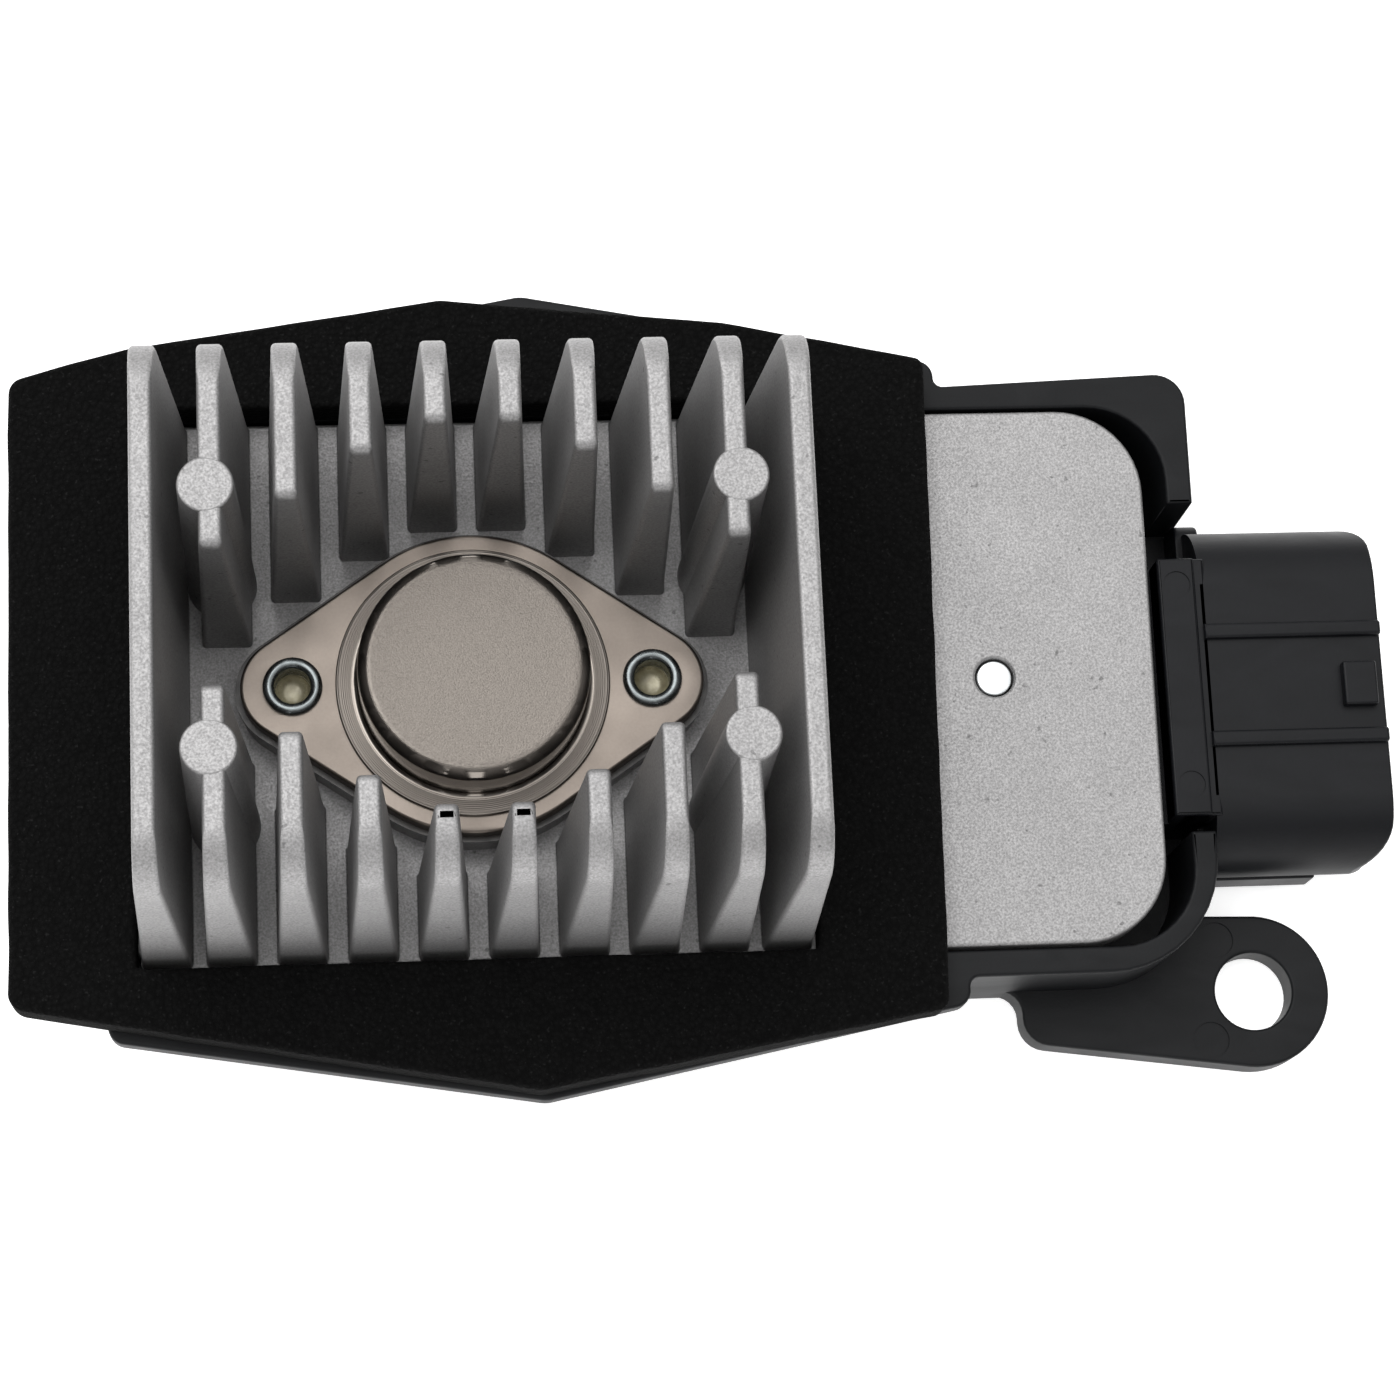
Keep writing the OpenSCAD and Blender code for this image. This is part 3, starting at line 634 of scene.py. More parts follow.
def fins_tree():
    """Two facing rows of fins, each fin cut short where the clear space around the transistor begins. The clear space
    is a round waist and two round lobes joined by their tangents. Vertices marked inner move with its edge."""
    tree, given = group_tree(
        "Fins around the transistor",
        {
            "Fins": "Int",
            "Pitch": "Float",
            "Waist": "Float",
            "Lobe": "Float",
            "Reach": "Float",
            "Centre X": "Float",
            "Centre Y": "Float",
            "Plate Y": "Float",
            "Material": "Material",
        },
    )

    def calc(operation, *values):
        return math(tree, operation, *values)

    line = line_of_points(tree, given["Fins"], given["Pitch"], "X")
    copies = add(tree, "GeometryNodeInstanceOnPoints", {"Points": line, "Instance": given["Geometry"]})
    place = add(tree, "ShaderNodeSeparateXYZ", {0: add(tree, "GeometryNodeInputPosition").outputs[0]})
    marked = add(
        tree,
        "GeometryNodeStoreNamedAttribute",
        {"Geometry": copies.outputs[0], "Name": "row", "Value": place.outputs["X"]},
        data_type="FLOAT",
        domain="INSTANCE",
    )
    real = add(tree, "GeometryNodeRealizeInstances", {0: marked.outputs[0]}).outputs[0]
    row = add(tree, "GeometryNodeInputNamedAttribute", {"Name": "row"}, data_type="FLOAT")
    inner = add(tree, "GeometryNodeInputNamedAttribute", {"Name": "inner"}, data_type="FLOAT").outputs[0]
    x = calc("ABSOLUTE", row.outputs[0])
    waist, lobe, reach = given["Waist"], given["Lobe"], given["Reach"]
    lean = calc("DIVIDE", calc("SUBTRACT", waist, lobe), reach)
    rise = calc("SQRT", calc("SUBTRACT", 1.0, calc("MULTIPLY", lean, lean)))
    past = calc("SUBTRACT", x, reach)
    round_waist = calc("SQRT", calc("SUBTRACT", calc("MULTIPLY", waist, waist), calc("MULTIPLY", x, x)))
    round_lobe = calc("SQRT", calc("SUBTRACT", calc("MULTIPLY", lobe, lobe), calc("MULTIPLY", past, past)))
    tangent = calc("DIVIDE", calc("SUBTRACT", waist, calc("MULTIPLY", x, lean)), rise)
    edge = tangent
    for test, limit, other in (
        ("LESS_THAN", calc("MULTIPLY", waist, lean), round_waist),
        ("GREATER_THAN", calc("ADD", reach, calc("MULTIPLY", lobe, lean)), round_lobe),
    ):
        chosen = add(tree, "GeometryNodeSwitch", {"False": edge, "True": other}, input_type="FLOAT")
        tree.links.new(calc(test, x, limit), chosen.inputs["Switch"])
        edge = chosen.outputs[0]
    off_centre = calc("SUBTRACT", given["Centre Y"], given["Plate Y"])
    both = add(tree, "GeometryNodeJoinGeometry")
    for side, turn in ((1, 0.0), (-1, pi)):
        end = calc("ADD", edge, calc("MULTIPLY", off_centre, side))
        shift = add(tree, "ShaderNodeCombineXYZ", {"Y": calc("MULTIPLY", inner, end)})
        cut = add(tree, "GeometryNodeSetPosition", {"Geometry": real, "Offset": shift.outputs[0]})
        centre = add(tree, "ShaderNodeCombineXYZ", {"X": given["Centre X"], "Y": given["Plate Y"]})
        turned = add(
            tree,
            "GeometryNodeTransform",
            {"Geometry": cut.outputs[0], "Rotation": Euler((0, 0, turn)), "Translation": centre.outputs[0]},
        )
        tree.links.new(turned.outputs[0], both.inputs[0])
    close_tree(tree, both.outputs[0], given["Material"])
    return tree


def grow(obj, tree, **values):
    """Runs a geometry group on a shape, with its inputs set by name, and keeps the result as a plain mesh."""
    modifier = obj.modifiers.new(tree.name, "NODES")
    modifier.node_group = tree
    known = {s.name: s.identifier for s in tree.interface.items_tree if s.in_out == "INPUT"}
    for label, value in values.items():
        modifier[known[label.replace("_", " ")]] = value
    return settle(obj)


def in_rows(obj, columns, step, rows, row_step, centre):
    """Copies a shape in rows and columns, with steps and centre in millimetres."""
    return grow(
        obj,
        rows_tree(),
        Columns=columns,
        Column_step=step * MM,
        Rows=rows,
        Row_step=row_step * MM,
        Centre=upright(*centre),
        Material=obj.data.materials[0],
    )


def join(name, *objs):
    """Joins plain objects into one."""
    bm = bmesh.new()
    for obj in objs:
        bm.from_mesh(obj.data)
    mesh = bpy.data.meshes.new(name)
    bm.to_mesh(mesh)
    bm.free()
    mesh.set_sharp_from_angle(angle=SHARP)
    mesh.materials.append(objs[0].data.materials[0])
    joined = bpy.data.objects.new(name, mesh)
    bpy.context.scene.collection.objects.link(joined)
    for obj in objs:
        old = obj.data
        bpy.data.objects.remove(obj)
        bpy.data.meshes.remove(old)
    return joined


# Pieces --------------------------------------------------------------------------------------------------------

SCREWS = ((-6.2, 0), (77.5, 37))  # centre of the four housing screws, and the distances between them
PLATE_Y = (SINK_LOW.y + SINK_HIGH.y) / 2
LEAD_X, LEAD_Y = 1.82, 5.46  # how far the transistor's leads stand from its centre


def fin_rungs(s, outer_ends):
    """Outlines of one drafted fin from its root up. Its inner end stands at Y = 0 unless both ends are outer ones."""
    fillet, sunk, draft, small = 0.15, 0.5, 0.4, 0.8
    end_gap, below_top = 0.2, 0.05
    root_end = SINK_HIGH.y - PLATE_Y - end_gap
    tip = SINK_HIGH.z - below_top
    levels = [FACE - sunk]
    levels += [FACE + fillet * (1 - cos(radians(a))) for a in (0, 30, 60, 90)]
    levels += [FACE + 10, tip - s.end - 4]
    levels += [tip - s.end * (1 - sin(radians(a))) for a in (0, 15, 30, 42, 53, 62, 70, 77, 83, 90)]

    def drop(r, z):
        past = min(r, max(0.0, z - (tip - r)))
        return r - sqrt(r * r - past * past)

    for z in levels:
        share = (z - FACE) / (tip - FACE)
        foot = min(fillet, max(0.0, FACE + fillet - z))
        flare = fillet - sqrt(fillet * fillet - foot * foot)
        half = (s.root + (s.tip - s.root) * share) / 2 + flare - drop(s.edge, z)
        end = root_end - s.lean * share - drop(s.end, z)
        start = -end if outer_ends else drop(small, z) - draft * (1 - share)
        corner = min(0.4, half * 0.8)
        yield [upright(p.x, p.y, z) for p in oblong(-half, half, start, end, corner, 4)]


class MODULE_OT_heat_sink(bpy.types.Operator):
    """Builds the die-cast heat sink: base plate, seat, fins and pillars"""

    bl_idname = "module.heat_sink"
    bl_label = "Heat sink"

    def execute(self, context):
        s, c = sizes("module_sink"), sizes("module_can")
        metal = blasted_aluminium(context.scene.module_finish.casting)
        low, high = FACE - s.plate, FACE
        eyelet_hole, lead_hole, shaft_hole, standoff = 2.8, 1.95, 1.7, 2.5
        eyelets = [ring(CENTRE.x + side * c.reach, CENTRE.y, eyelet_hole) for side in (-1, 1)]
        leads = [ring(CENTRE.x + LEAD_X, CENTRE.y + side * LEAD_Y, lead_hole) for side in (-1, 1)]
        pin = (RIVET_LOW + RIVET_HIGH) / 2
        shaft = ring(pin.x, pin.y, shaft_hole)
        bm = bmesh.new()
        plan = rounded(
            [
                (SINK_LOW.x, SINK_LOW.y, 3),
                (SINK_HIGH.x - 0.4, SINK_LOW.y, 7.5),
                (SINK_HIGH.x, SINK_HIGH.y, 7.5),
                (SINK_LOW.x, SINK_HIGH.y, 3),
            ],
            12,
        )
        slab(bm, [plan, *map(hole, [*eyelets, *leads, shaft])], low, high, (0.2, 0.3))
        seat = diamond(c.waist + 0.2, c.lobe + 0.2, c.reach)
        slab(bm, [seat, *map(hole, eyelets + leads)], high - 0.5, BASE_LOW.z - 0.2, (0, 0.2))
        for x in (-8.95, 11.05):
            slab(bm, [ring(x, 0, standoff)], SINK_LOW.z, low + 0.5, (0.2, 0))
        plate = piece("sink_plate", bm, metal)

        bm = bmesh.new()
        skin(bm, list(fin_rungs(s, False)))
        fins = piece("sink_fins", bm, metal)
        inner = fins.data.attributes.new("inner", "FLOAT", "POINT")
        for vertex, mark in zip(fins.data.vertices, inner.data):
            mark.value = 1.0 if vertex.co.y < 5 * MM else 0.0
        grow(
            fins,
            fins_tree(),
            Fins=8,
            Pitch=s.pitch * MM,
            Waist=s.waist * MM,
            Lobe=s.lobe * MM,
            Reach=c.reach * MM,
            Centre_X=CENTRE.x * MM,
            Centre_Y=CENTRE.y * MM,
            Plate_Y=PLATE_Y * MM,
            Material=metal,
        )

        bm = bmesh.new()
        skin(bm, list(fin_rungs(s, True)))
        long_fins = in_rows(piece("sink_long_fins", bm, metal), 2, 2 * s.outer, 1, 0, (CENTRE.x, PLATE_Y, 0))

        bm = bmesh.new()
        top, soft, apart_x, apart_y = SINK_HIGH.z, 0.25, 42, 21
        lathe(bm, [(s.pillar + 0.7, FACE - 0.5)] + bend(s.pillar - soft, top - soft, soft, 0, 90), steps=40)
        pillars = in_rows(piece("sink_pillars", bm, metal), 2, apart_x, 2, apart_y, (CENTRE.x, CENTRE.y, 0))
        hand_over(join("heat_sink_casting", plate, fins, long_fins, pillars), "cast_aluminium", "heat_sink")
        return {"FINISHED"}


class MODULE_OT_housing(bpy.types.Operator):
    """Builds the moulded housing: trough, seal flange, rim and screw ear"""

    bl_idname = "module.housing"
    bl_label = "Housing"

    def execute(self, context):
        s = sizes("module_shell")
        plastic = moulded("glass_filled_nylon", context.scene.module_finish.shell, 0.5, 0.22, 0.012)
        left, right, top, peak_x = -51.35, 43.55, 26.3, -15.1
        flange_right, side = 21.15, SHELL_HIGH.y - 6.8
        inner_left, inner_right, inner_top, inner_low = -49.55, right - s.wall, 24.2, -24.0
        gap_top, gap_low = 15.2, -14.2
        under = FACE - s.flange
        inside = [
            (inner_right, gap_low, 0.15),
            (inner_right, inner_low, 6.8),
            (inner_left, inner_low, 3.3),
            (inner_left, inner_top, 3.3),
            (inner_right, inner_top, 6.8),
            (inner_right, gap_top, 0.15),
        ]
        # The right-hand wall leans in towards its lower end, and the upper edge rises towards the right
        upper = [(right - 0.07, gap_top, 0.15), (right, top + 1, 2.7)]
        lower = [(right - 0.3, -top, 10), (right - 0.23, gap_low, 0.15)]
        flange = [
            (flange_right, top + 0.08, 0.8),
            (flange_right, side, 1.5),
            (peak_x, SHELL_HIGH.y, 3),
            (left, side, 1.5),
            (left, SHELL_LOW.y + 6.1, 1.5),
            (peak_x, SHELL_LOW.y, 3),
            (flange_right, -side, 1.5),
            (flange_right, -top, 0.8),
        ]
        walls = [(flange_right - 2, top, 0), (left, top, 3), (left, -top, 3)]
        bm = bmesh.new()
        slab(bm, [rounded(upper + flange + lower + inside, 10)], under, FACE, (0, s.edge))
        slab(bm, [rounded(upper + walls + lower + inside, 10)], s.floor, under)
        (middle_x, middle_y), (apart_x, apart_y) = SCREWS
        screws = [(middle_x + i * apart_x / 2, middle_y + j * apart_y / 2) for i in (-1, 1) for j in (-1, 1)]
        heads = [hole(ring(x, y, 2.9, 32)) for x, y in screws]
        slab(bm, [rounded(upper[1:] + walls + lower[:1], 10), *heads], 0, s.floor, (0.5, 0))
        for x, y in screws:
            slab(bm, [ring(x, y, 3.6, 32), hole(ring(x, y, 1.6, 32))], 2.2, FACE - 3.5)
            slab(bm, [ring(x, y, 3.5, 32), hole(ring(x, y, 1.6, 32))], s.floor - 0.1, 2.2)
        ledge = [(31, 24.3, 0), (-49.75, 24.3, 3), (-49.75, -24.2, 3), (31, -24.2, 0)]
        ledge += [(31, -22.5, 0), (-48.05, -22.5, 2), (-48.05, 22.5, 2), (31, 22.5, 0)]
        slab(bm, [rounded(ledge)], s.floor - 0.1, FACE - 3.5)
        # Screw ear, whose inner end stays inside the trough's rounded wall
        ear_x, ear_y, ear_r = 47.55, -26.9, 6.7
        arm = [(22, -25.2, 0), (22, -26.2, 0), (26.95, -26.2, 2), (26.95, -30.8, 2.5), (37.05, -32.25, 0)]
        arm = rounded(arm)[:-1]
        tip = [Vector(p) for p in bend(ear_x, ear_y, ear_r, -97, 85, 32)]
        root = [Vector(p) for p in [(43.65, -20.1), (42.25, -20.0), *bend(33.25, -16.3, 8.9, -20, -90)]]
        screw_hole = hole(ring(ear_x, ear_y, s.hole))
        marks = [(ring(44.45, -22.3, 1.6, 32), 0.14), (ring(43.45, -31.1, 1.6, 32), 0.14)]
        slab(bm, [arm + tip + root, screw_hole], 0.03, s.ear, (0.4, s.edge), [(hole(m), d) for m, d in marks])
        hand_over(piece("housing_shell", bm, plastic), "housing_plastic", "housing")
        return {"FINISHED"}


class MODULE_OT_gasket(bpy.types.Operator):
    """Builds the foam gasket"""

    bl_idname = "module.gasket"
    bl_label = "Gasket"

    def execute(self, context):
        s = sizes("module_sink")
        foam = closed_cell_foam(context.scene.module_finish.foam)
        plan = rounded(
            [
                (FOAM_LOW.x, 27.2, 1.6),
                (FOAM_LOW.x, -27.1, 1.6),
                (-15.65, FOAM_LOW.y, 3),
                (18.8, -29.5, 1.2),
                (FOAM_HIGH.x, 27.8, 1),
                (2.25, 31.5, 10),
                (-22.2, FOAM_HIGH.y, 3),
                (-49, 30, 6),
            ],
            8,
        )
        clear = 0.35
        half = s.outer + s.root / 2 + clear
        window = oblong(CENTRE.x - half, CENTRE.x + half, SINK_LOW.y - clear, SINK_HIGH.y + clear, 0.5)

        def cut(loop, step=1.2, wander=0.09):
            """Splits an outline into short steps that wander as a die cuts foam."""
            points = []
            for i, a in enumerate(loop):
                b = loop[(i + 1) % len(loop)]
                parts = max(1, round((b - a).length / step))
                points += [a.lerp(b, k / parts) for k in range(parts)]
            return [
                p + Vector((noise.noise((p.x / 4, p.y / 4, 0)), noise.noise((p.x / 4, p.y / 4, 9)))) * wander
                for p in points
            ]

        bm = bmesh.new()
        slab(bm, [inset(cut(plan), 0.06), hole(cut(window))], FACE, FOAM_HIGH.z, (0.15, 0.5), steps=4)
        gasket = piece("gasket_foam", bm, foam)
        hand_over(gasket, "foam", "foam_gasket")
        return {"FINISHED"}


class MODULE_OT_connector(bpy.types.Operator):
    """Builds the connector: block, shroud, ribs and latch"""

    bl_idname = "module.connector"
    bl_label = "Connector"

    def execute(self, context):
        s = sizes("module_plug")
        plastic = moulded("moulded_polyester", context.scene.module_finish.plug, 0.42, 0.3, 0.008)
        bm = bmesh.new()
        back, front, header = 43.6, PLUG_HIGH.x, 46.6
        floor = PLUG_LOW.z + 1.75
        marks = [(hole(ring(41.5, y, 1.2, 32)), 0.12) for y in (7.8, -10.1)]
        for x0, x1, low, high, soft, wells in (
            (38.2, 44.1, floor, FACE - 3.6, (0, 0), ()),
            (39.9, 44.1, 6, FACE - 0.3, (0, s.edge), ()),
            (39.9, 43.15, 6, FACE, (0, s.edge), marks),
        ):
            slab(bm, [oblong(x0, x1, -12.8, 10.2, 0.15, 2)], low, high, soft, wells)
        # Low wall that fills the gap in the trough's wall beside the block
        sill = oblong(-14.1, 15.1, floor, 6.4, [0, 0, 1.5, 1.5])
        slab(bm, [sill], 42.95, 45.15, (0.2, 0.2), place=lengthwise)

        # Shroud: a tube with half-round ends, whose mouth is rounded in plan
        low, high = 0.1, FACE - 0.3
        middle = -1.6
        y0, y1 = middle - s.width / 2, middle + s.width / 2

        def section(x, depth, past=0.0):
            """One outline of the shroud, moved in by depth; past the mouth's corners it stops short of x."""
            points = []
            for p in oblong(y0 + depth, y1 - depth, low + depth, high - depth, (high - low) / 2 - depth - 0.01, 12):
                stop = x
                if past:
                    for corner, r, away in ((y0, 3.5, -1), (y1, 2.5, 1)):
                        beyond = min(r * 0.97, max(0.0, (p.x - (corner - away * r)) * away))
                        stop = min(stop, x - r + sqrt(r * r - beyond * beyond))
                points.append(lengthwise(p.x, p.y, stop))
            return points

        soft, wall = s.edge, s.wall
        rungs = [section(back, 0)]
        rungs += [section(front - soft + soft * sin(a), soft * (1 - cos(a)), 1) for a in map(radians, (0, 30, 60, 90))]
        rungs += [
            section(front - soft + soft * sin(a), wall - soft * (1 - cos(a)), 1) for a in map(radians, (90, 60, 30, 0))
        ]
        rungs += [section(header, wall)]
        skin(bm, rungs)
        slab(bm, [oblong(55.45, 58.45, -3.5, 0.4, 0.2, 2)], high - 0.9, FACE + 0.7, (0, s.edge))
        rail = rounded([(-17.2, 1.5, 0.2), (-14.6, 1.5, 0), (-15.9, 4, 0), (-16.2, 5, 0), (-17.2, 5, 0.2)], 3)
        slab(bm, [rail], back, 53.5, (0, 0.2), place=lengthwise)
        body = piece("connector_shell", bm, plastic)

        bm = bmesh.new()
        half = s.rib / 2
        slab(bm, [oblong(back, PLUG_HIGH.x, -half, half, [0, 0.3, 0.3, 0], 3)], high - 0.8, FACE + 0.3, (0, 0.3))
        ribs = in_rows(piece("connector_ribs", bm, plastic), 1, 0, 2, 9.6, (0, -1.3, 0))
        hand_over(join("connector_moulding", body, ribs), "connector_plastic", "connector_body")
        return {"FINISHED"}


class MODULE_OT_transistor(bpy.types.Operator):
    """Builds the transistor's flange and can"""

    bl_idname = "module.transistor"
    bl_label = "Transistor"

    def execute(self, context):
        c = sizes("module_can")
        flange = nickel_flange(context.scene.module_finish.flange)
        bm = bmesh.new()
        eyelets = [hole(ring(CENTRE.x + side * c.reach, CENTRE.y, 2.05)) for side in (-1, 1)]
        leads = [hole(ring(CENTRE.x + LEAD_X, CENTRE.y + side * LEAD_Y, 1.6)) for side in (-1, 1)]
        plan = diamond(c.waist, c.lobe, c.reach)
        slab(bm, [plan, *eyelets, *leads], BASE_LOW.z, BASE_HIGH.z, (0.1, 0.3))
        hand_over(piece("transistor_flange", bm, flange), "nickel_steel", "transistor_base")

        steel = nickel_can(context.scene.module_finish.can)
        top, seat, wall = CAP_HIGH.z, BASE_HIGH.z, 0.6
        inner = c.can - wall
        profile = [(1, top - wall), (inner - 0.6, top - wall)] + bend(inner - 0.6, top - wall - 0.6, 0.6, 75, 0, 5)
        profile += [(inner, seat), (11.4, seat), (11.5, seat + 0.08), (11.5, seat + 0.33), (11.4, seat + 0.45)]
        profile += [(11.15, seat + 0.5), (10.9, seat + 0.42), (10.6, seat + 0.42)]
        profile += bend(c.can + 0.4, seat + 0.82, 0.4, 270, 180, 5)
        profile += bend(c.can - c.bend, top - c.bend, c.bend, 0, 82, 10)
        profile += [(c.can - c.bend - 0.15, top - 0.005), (c.can - c.bend - 0.7, top - 0.04), (c.can - 3, top - 0.05)]
        profile += [(1, top - 0.05)]
        bm = bmesh.new()
        lathe(bm, profile, CENTRE.x, CENTRE.y, 128)
        hand_over(piece("transistor_can", bm, steel), "nickel_steel", "transistor_cap")
        return {"FINISHED"}


class MODULE_OT_eyelets(bpy.types.Operator):
    """Builds the eyelets, the solder inside them and the pin that joins the board to the plate"""

    bl_idname = "module.eyelets"
    bl_label = "Eyelets and pin"

    def execute(self, context):
        c = sizes("module_can")
        zinc = zinc_steel(context.scene.module_finish.zinc)
        base, low = BASE_HIGH.z, mm_box("eyelet_rivets")[0].z
        spot = (CENTRE.x, CENTRE.y, 0)
        mid, thick = (c.lip + c.bore) / 2, (c.lip - c.bore) / 2
        lip = [(c.lip, base + 0.1)] + bend(mid, base + 0.18, thick, 0, 180, 10) + [(c.bore, base - 0.6)]
        tube = [(c.bore + 0.03, low + 0.5), (c.bore + 0.2, low), (c.lip, low), (c.lip, low + 0.5)]
        bm = bmesh.new()
        lathe(bm, lip + tube + [(1.95, low + 0.5), (1.95, base + 0.02), (c.lip, base + 0.02)], steps=48, joined=True)
        eyelets = in_rows(piece("eyelet_pair", bm, zinc), 2, 2 * c.reach, 1, 0, spot)
        hand_over(eyelets, "plated_steel", "eyelet_rivets")

        # Solder that has risen in the eyelets, under a skin of flux
        solder = speckled("fluxed_solder", ("857E66", "B3AC90"), 0.9, 0.3, 0.25, 0.03, **{"Coat Weight": 0.3})
        low, high = (z.z for z in mm_box("eyelet_solder"))
        bm = bmesh.new()
        rise = bend(c.bore - 1.0, high + 0.62, 0.95, 0, -80, 6)
        lathe(bm, [(c.bore, low), (c.bore, high + 0.6)] + rise + [(0.1, high - 0.34)], steps=40)
        fill = in_rows(piece("eyelet_fill", bm, solder), 2, 2 * c.reach, 1, 0, spot)
        hand_over(fill, "solder", "eyelet_solder")

        bright = speckled("bright_aluminium", ("F1F3F4", "D9DEE0"), 1.2, 0.34, 1.0, 0.006)
        pin, r = (RIVET_LOW + RIVET_HIGH) / 2, 1.55
        top = RIVET_HIGH.z
        bm = bmesh.new()
        head = bend(2.2, RIVET_LOW.z + 0.2, 0.2, -90, 0, 3) + [(2.4, RIVET_LOW.z + 0.9), (r, RIVET_LOW.z + 0.9)]
        crown = bend(r - 0.2, top - 0.24, 0.2, 0, 70, 4) + [(0.9, top - 0.012), (0.3, top)]
        lathe(bm, [(1.6, RIVET_LOW.z)] + head + [(r, top - 0.6)] + crown, pin.x, pin.y, 48)
        hand_over(piece("board_pin", bm, bright), "bright_aluminium", "board_rivet")
        return {"FINISHED"}


class MODULE_OT_screws(bpy.types.Operator):
    """Builds the four screws in the housing's back"""

    bl_idname = "module.screws"
    bl_label = "Screws"

    def execute(self, context):
        steel = speckled("plated_screw_steel", ("8F9293", "A9ABA8"), 0.6, 0.34, 1.0, 0.006)
        low, high = (z.z for z in mm_box("housing_screws"))
        arm, half = 1.6, 0.32
        cross = [
            (half, half), (half, arm), (-half, arm), (-half, half), (-arm, half), (-arm, -half),
            (-half, -half), (-half, -arm), (half, -arm), (half, -half), (arm, -half), (arm, half),
        ]
        bm = bmesh.new()
        recess = hole([Vector(p) for p in cross])
        slab(bm, [ring(0, 0, 2.7)], -low - 1.8, -low, (0, 0.7), [(recess, 1.1)], upside_down, 5)
        lathe(bm, [(1.45, low + 1.7), (1.45, high - 0.4), (1.05, high)], steps=32)
        (x, y), (apart_x, apart_y) = SCREWS
        screws = in_rows(piece("screw_set", bm, steel), 2, apart_x, 2, apart_y, (x, y, 0))
        hand_over(screws, "plated_steel", "housing_screws")
        return {"FINISHED"}


class MODULE_OT_inside(bpy.types.Operator):
    """Gives the CAD nodes that stay, mostly inside the housing, their finishes"""

    bl_idname = "module.inside"
    bl_label = "Inner parts"

    def execute(self, context):
        tin = speckled("tinned_brass", ("B9B3A0", "CFCBBE"), 0.7, 0.3, 1.0, 0.004)
        wire = speckled("drawn_aluminium", ("CDCFD0", "E2E3E4"), 0.5, 0.2, 1.0, 0.003)
        nylon = speckled("natural_nylon", ("DCD7C6", "EAE6D8"), 0.8, 0.5, 0.0, 0.004, **{"Subsurface Weight": 0.1})
        epoxy = speckled("black_epoxy", ("141415", "1E1E1F"), 0.25, 0.55, 0.0, 0.01)
        ceramic = speckled("capacitor_ceramic", ("A98A60", "BC9C72"), 0.3, 0.45, 0.0, 0.005)
        finishes = {
            tin: ["battery_terminal", "ground_terminal", "motor_terminal", "control_terminal", "sense_terminal"],
            # Nickel-iron pins, a little darker than the flange
            speckled("nickel_iron", ("A8A196", "BDB5A8"), 0.6, 0.3, 1.0, 0.004): ["transistor_leads"],
            speckled("sealing_glass", ("2F4F55", "3D6169"), 0.5, 0.12, 0.0, 0.003): ["glass_seals"],
            speckled("rolled_copper", ("B8734E", "C98660"), 0.7, 0.35, 1.0, 0.004): ["heat_spreader"],
            speckled("polished_silicon", ("3A3E48", "474C58"), 1.5, 0.12, 0.6, 0.001): ["silicon_die"],
            wire: ["bond_wires"],
            # Mica washer, split into sheets and glassy where its edge shows; its near-black colour is painted shade,
            # standing for the shadowed gap around the flange
            speckled("mica_in_painted_shade", ("15110D", "241C15"), 1.0, 0.35, 0.0, 0.004): ["insulating_washer"],
            nylon: ["eyelet_bushings", "lead_sleeves"],
            speckled("solder_mask_on_glass_epoxy", ("143D26", "1B4A2E"), 1.1, 0.3, 0.0, 0.006): ["circuit_board"],
            epoxy: ["driver_chip", "protection_diode", "chip_resistors"],
            speckled("resistance_alloy", ("8B7C69", "9C8D79"), 0.5, 0.38, 1.0, 0.004): ["shunt_resistor"],
            ceramic: ["chip_capacitors"],
            speckled("tantalum_case", ("C39A2E", "D0A83E"), 0.4, 0.5, 0.0, 0.006): ["bulk_capacitors"],
            speckled("bright_solder", ("BFC0BC", "D6D7D3"), 0.5, 0.22, 1.0, 0.006): [
                "solder_joints",
                "driver_chip_pins",
            ],
        }
        for material, nodes in finishes.items():
            for name in nodes:
                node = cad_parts[name]
                if not node.data.materials:
                    node.data.materials.append(material)
                for i in range(len(node.material_slots)):
                    node.material_slots[i].material = material
        return {"FINISHED"}


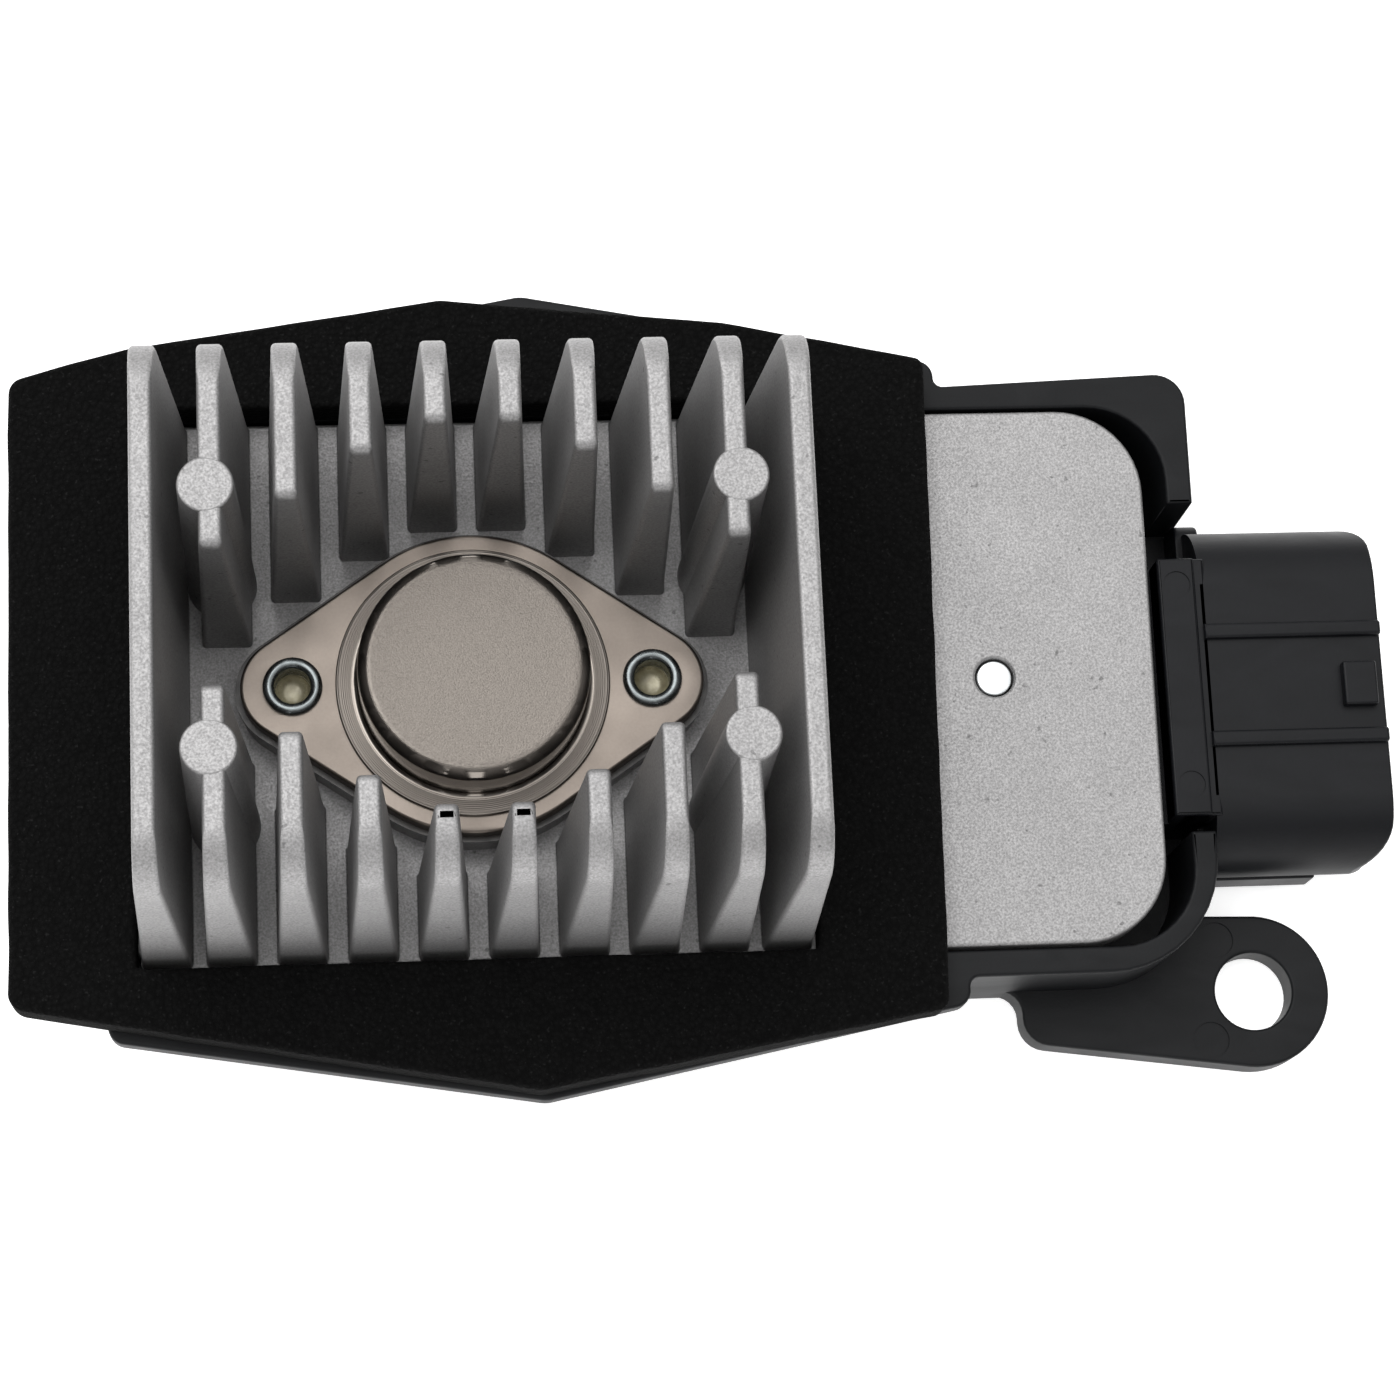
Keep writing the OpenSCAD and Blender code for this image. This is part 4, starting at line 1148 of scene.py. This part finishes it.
class MODULE_OT_stage(bpy.types.Operator):
    """Builds the floor, the lights and the camera"""

    bl_idname = "module.stage"
    bl_label = "Stage"

    def execute(self, context):
        scene, studio = context.scene, context.scene.module_studio
        mesh = bpy.data.meshes.new("floor")
        reach = 3.0
        corners = [(x * reach, y * reach, 0) for x, y in ((-1, -1), (1, -1), (1, 1), (-1, 1))]
        mesh.from_pydata(corners, [], [(0, 1, 2, 3)])
        floor = bpy.data.objects.new("floor", mesh)
        scene.collection.objects.link(floor)
        # Opal acrylic on a light table: white, even and matt, with a glow of its own
        glow = {"Emission Color": (1, 1, 1, 1), "Emission Strength": studio.glow}
        paper, tree, shader, coords = surface("opal_acrylic", studio.floor, 0.9, **glow)
        shade(tree, shader, studio.floor, spread(tree, grain(tree, coords, 0.4), 0.995, 1.0))
        mesh.materials.append(paper)
        floor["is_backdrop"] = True

        world = bpy.data.worlds.new("studio")
        world.use_nodes = True
        # A ceiling that is brightest over the object's upper left, and walls that fall off below it
        tree = world.node_tree
        direction = add(tree, "ShaderNodeTexCoord").outputs["Generated"]
        towards = Vector((-0.3, 0.3, 0.9)).normalized()
        facing = add(tree, "ShaderNodeVectorMath", {0: direction, 1: towards}, operation="DOT_PRODUCT")
        level = spread(tree, facing.outputs["Value"], studio.wall, studio.sky, 0.25, 0.95)
        tree.links.new(level, tree.nodes["Background"].inputs["Strength"])
        tree.nodes["Background"].inputs["Color"].default_value = (1, 1, 1, 1)
        scene.world = world
        scene.view_settings.view_transform = "Standard"

        for name, place, size, power in (
            ("softbox", (-0.25, 0.35, 0.9), 0.7, studio.softbox),
            ("side_panel", (0.8, -0.2, 0.5), 0.6, studio.softbox * 0.4),
            ("front_panel", (0.0, -0.9, 0.3), 0.6, studio.softbox * 0.75),
        ):
            data = bpy.data.lights.new(name, "AREA")
            data.size = size
            data.energy = power
            lamp = bpy.data.objects.new(name, data)
            lamp.location = place
            lamp.rotation_euler = (-Vector(place)).to_track_quat("-Z", "Y").to_euler()
            scene.collection.objects.link(lamp)

        # The camera looks down on the transistor's flange, leaning a little from below and from the left
        data = bpy.data.cameras.new("camera")
        data.sensor_width = 36
        data.lens = 95.54
        data.clip_start = 0.01
        camera = bpy.data.objects.new("camera", data)
        turn = Euler((0.2369, -0.0861, -0.0248), "ZYX").to_matrix()
        aim, away = Vector((CENTRE.x, CENTRE.y, BASE_HIGH.z)), Vector((19.04, -1.46, 311.8))
        camera.matrix_world = Matrix.Translation((aim + turn @ away) * MM) @ turn.to_4x4()
        scene.collection.objects.link(camera)
        scene.camera = camera
        return {"FINISHED"}


OPERATORS = [
    MODULE_OT_stage,
    MODULE_OT_heat_sink,
    MODULE_OT_housing,
    MODULE_OT_gasket,
    MODULE_OT_connector,
    MODULE_OT_transistor,
    MODULE_OT_eyelets,
    MODULE_OT_screws,
    MODULE_OT_inside,
]


class MODULE_PT_panel(bpy.types.Panel):
    """Lists the pieces, the sizes and the finishes"""

    bl_idname = "MODULE_PT_panel"
    bl_label = "Blower motor control module"
    bl_space_type = "VIEW_3D"
    bl_region_type = "UI"
    bl_category = "Module"

    def draw(self, context):
        for operator in OPERATORS:
            self.layout.operator(operator.bl_idname)
        for name, group in GROUPS.items():
            box = self.layout.box()
            box.label(text=group.bl_rna.description)
            for key in group.__annotations__:
                box.prop(getattr(context.scene, name), key)


def register():
    for group in GROUPS.values():
        bpy.utils.register_class(group)
    for name, group in GROUPS.items():
        setattr(bpy.types.Scene, name, PointerProperty(type=group))
    for operator in OPERATORS:
        bpy.utils.register_class(operator)
    bpy.utils.register_class(MODULE_PT_panel)


def unregister():
    bpy.utils.unregister_class(MODULE_PT_panel)
    for operator in reversed(OPERATORS):
        bpy.utils.unregister_class(operator)
    for name, group in GROUPS.items():
        delattr(bpy.types.Scene, name)
        bpy.utils.unregister_class(group)


def main():
    register()
    for operator in OPERATORS:
        section, action = operator.bl_idname.split(".")
        getattr(getattr(bpy.ops, section), action)()
    visual_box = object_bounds()
    {name: [list(v) for v in box] for name, box in (("cad", CAD_BOX), ("visual", visual_box))}


if __name__ == "__main__":
    main()
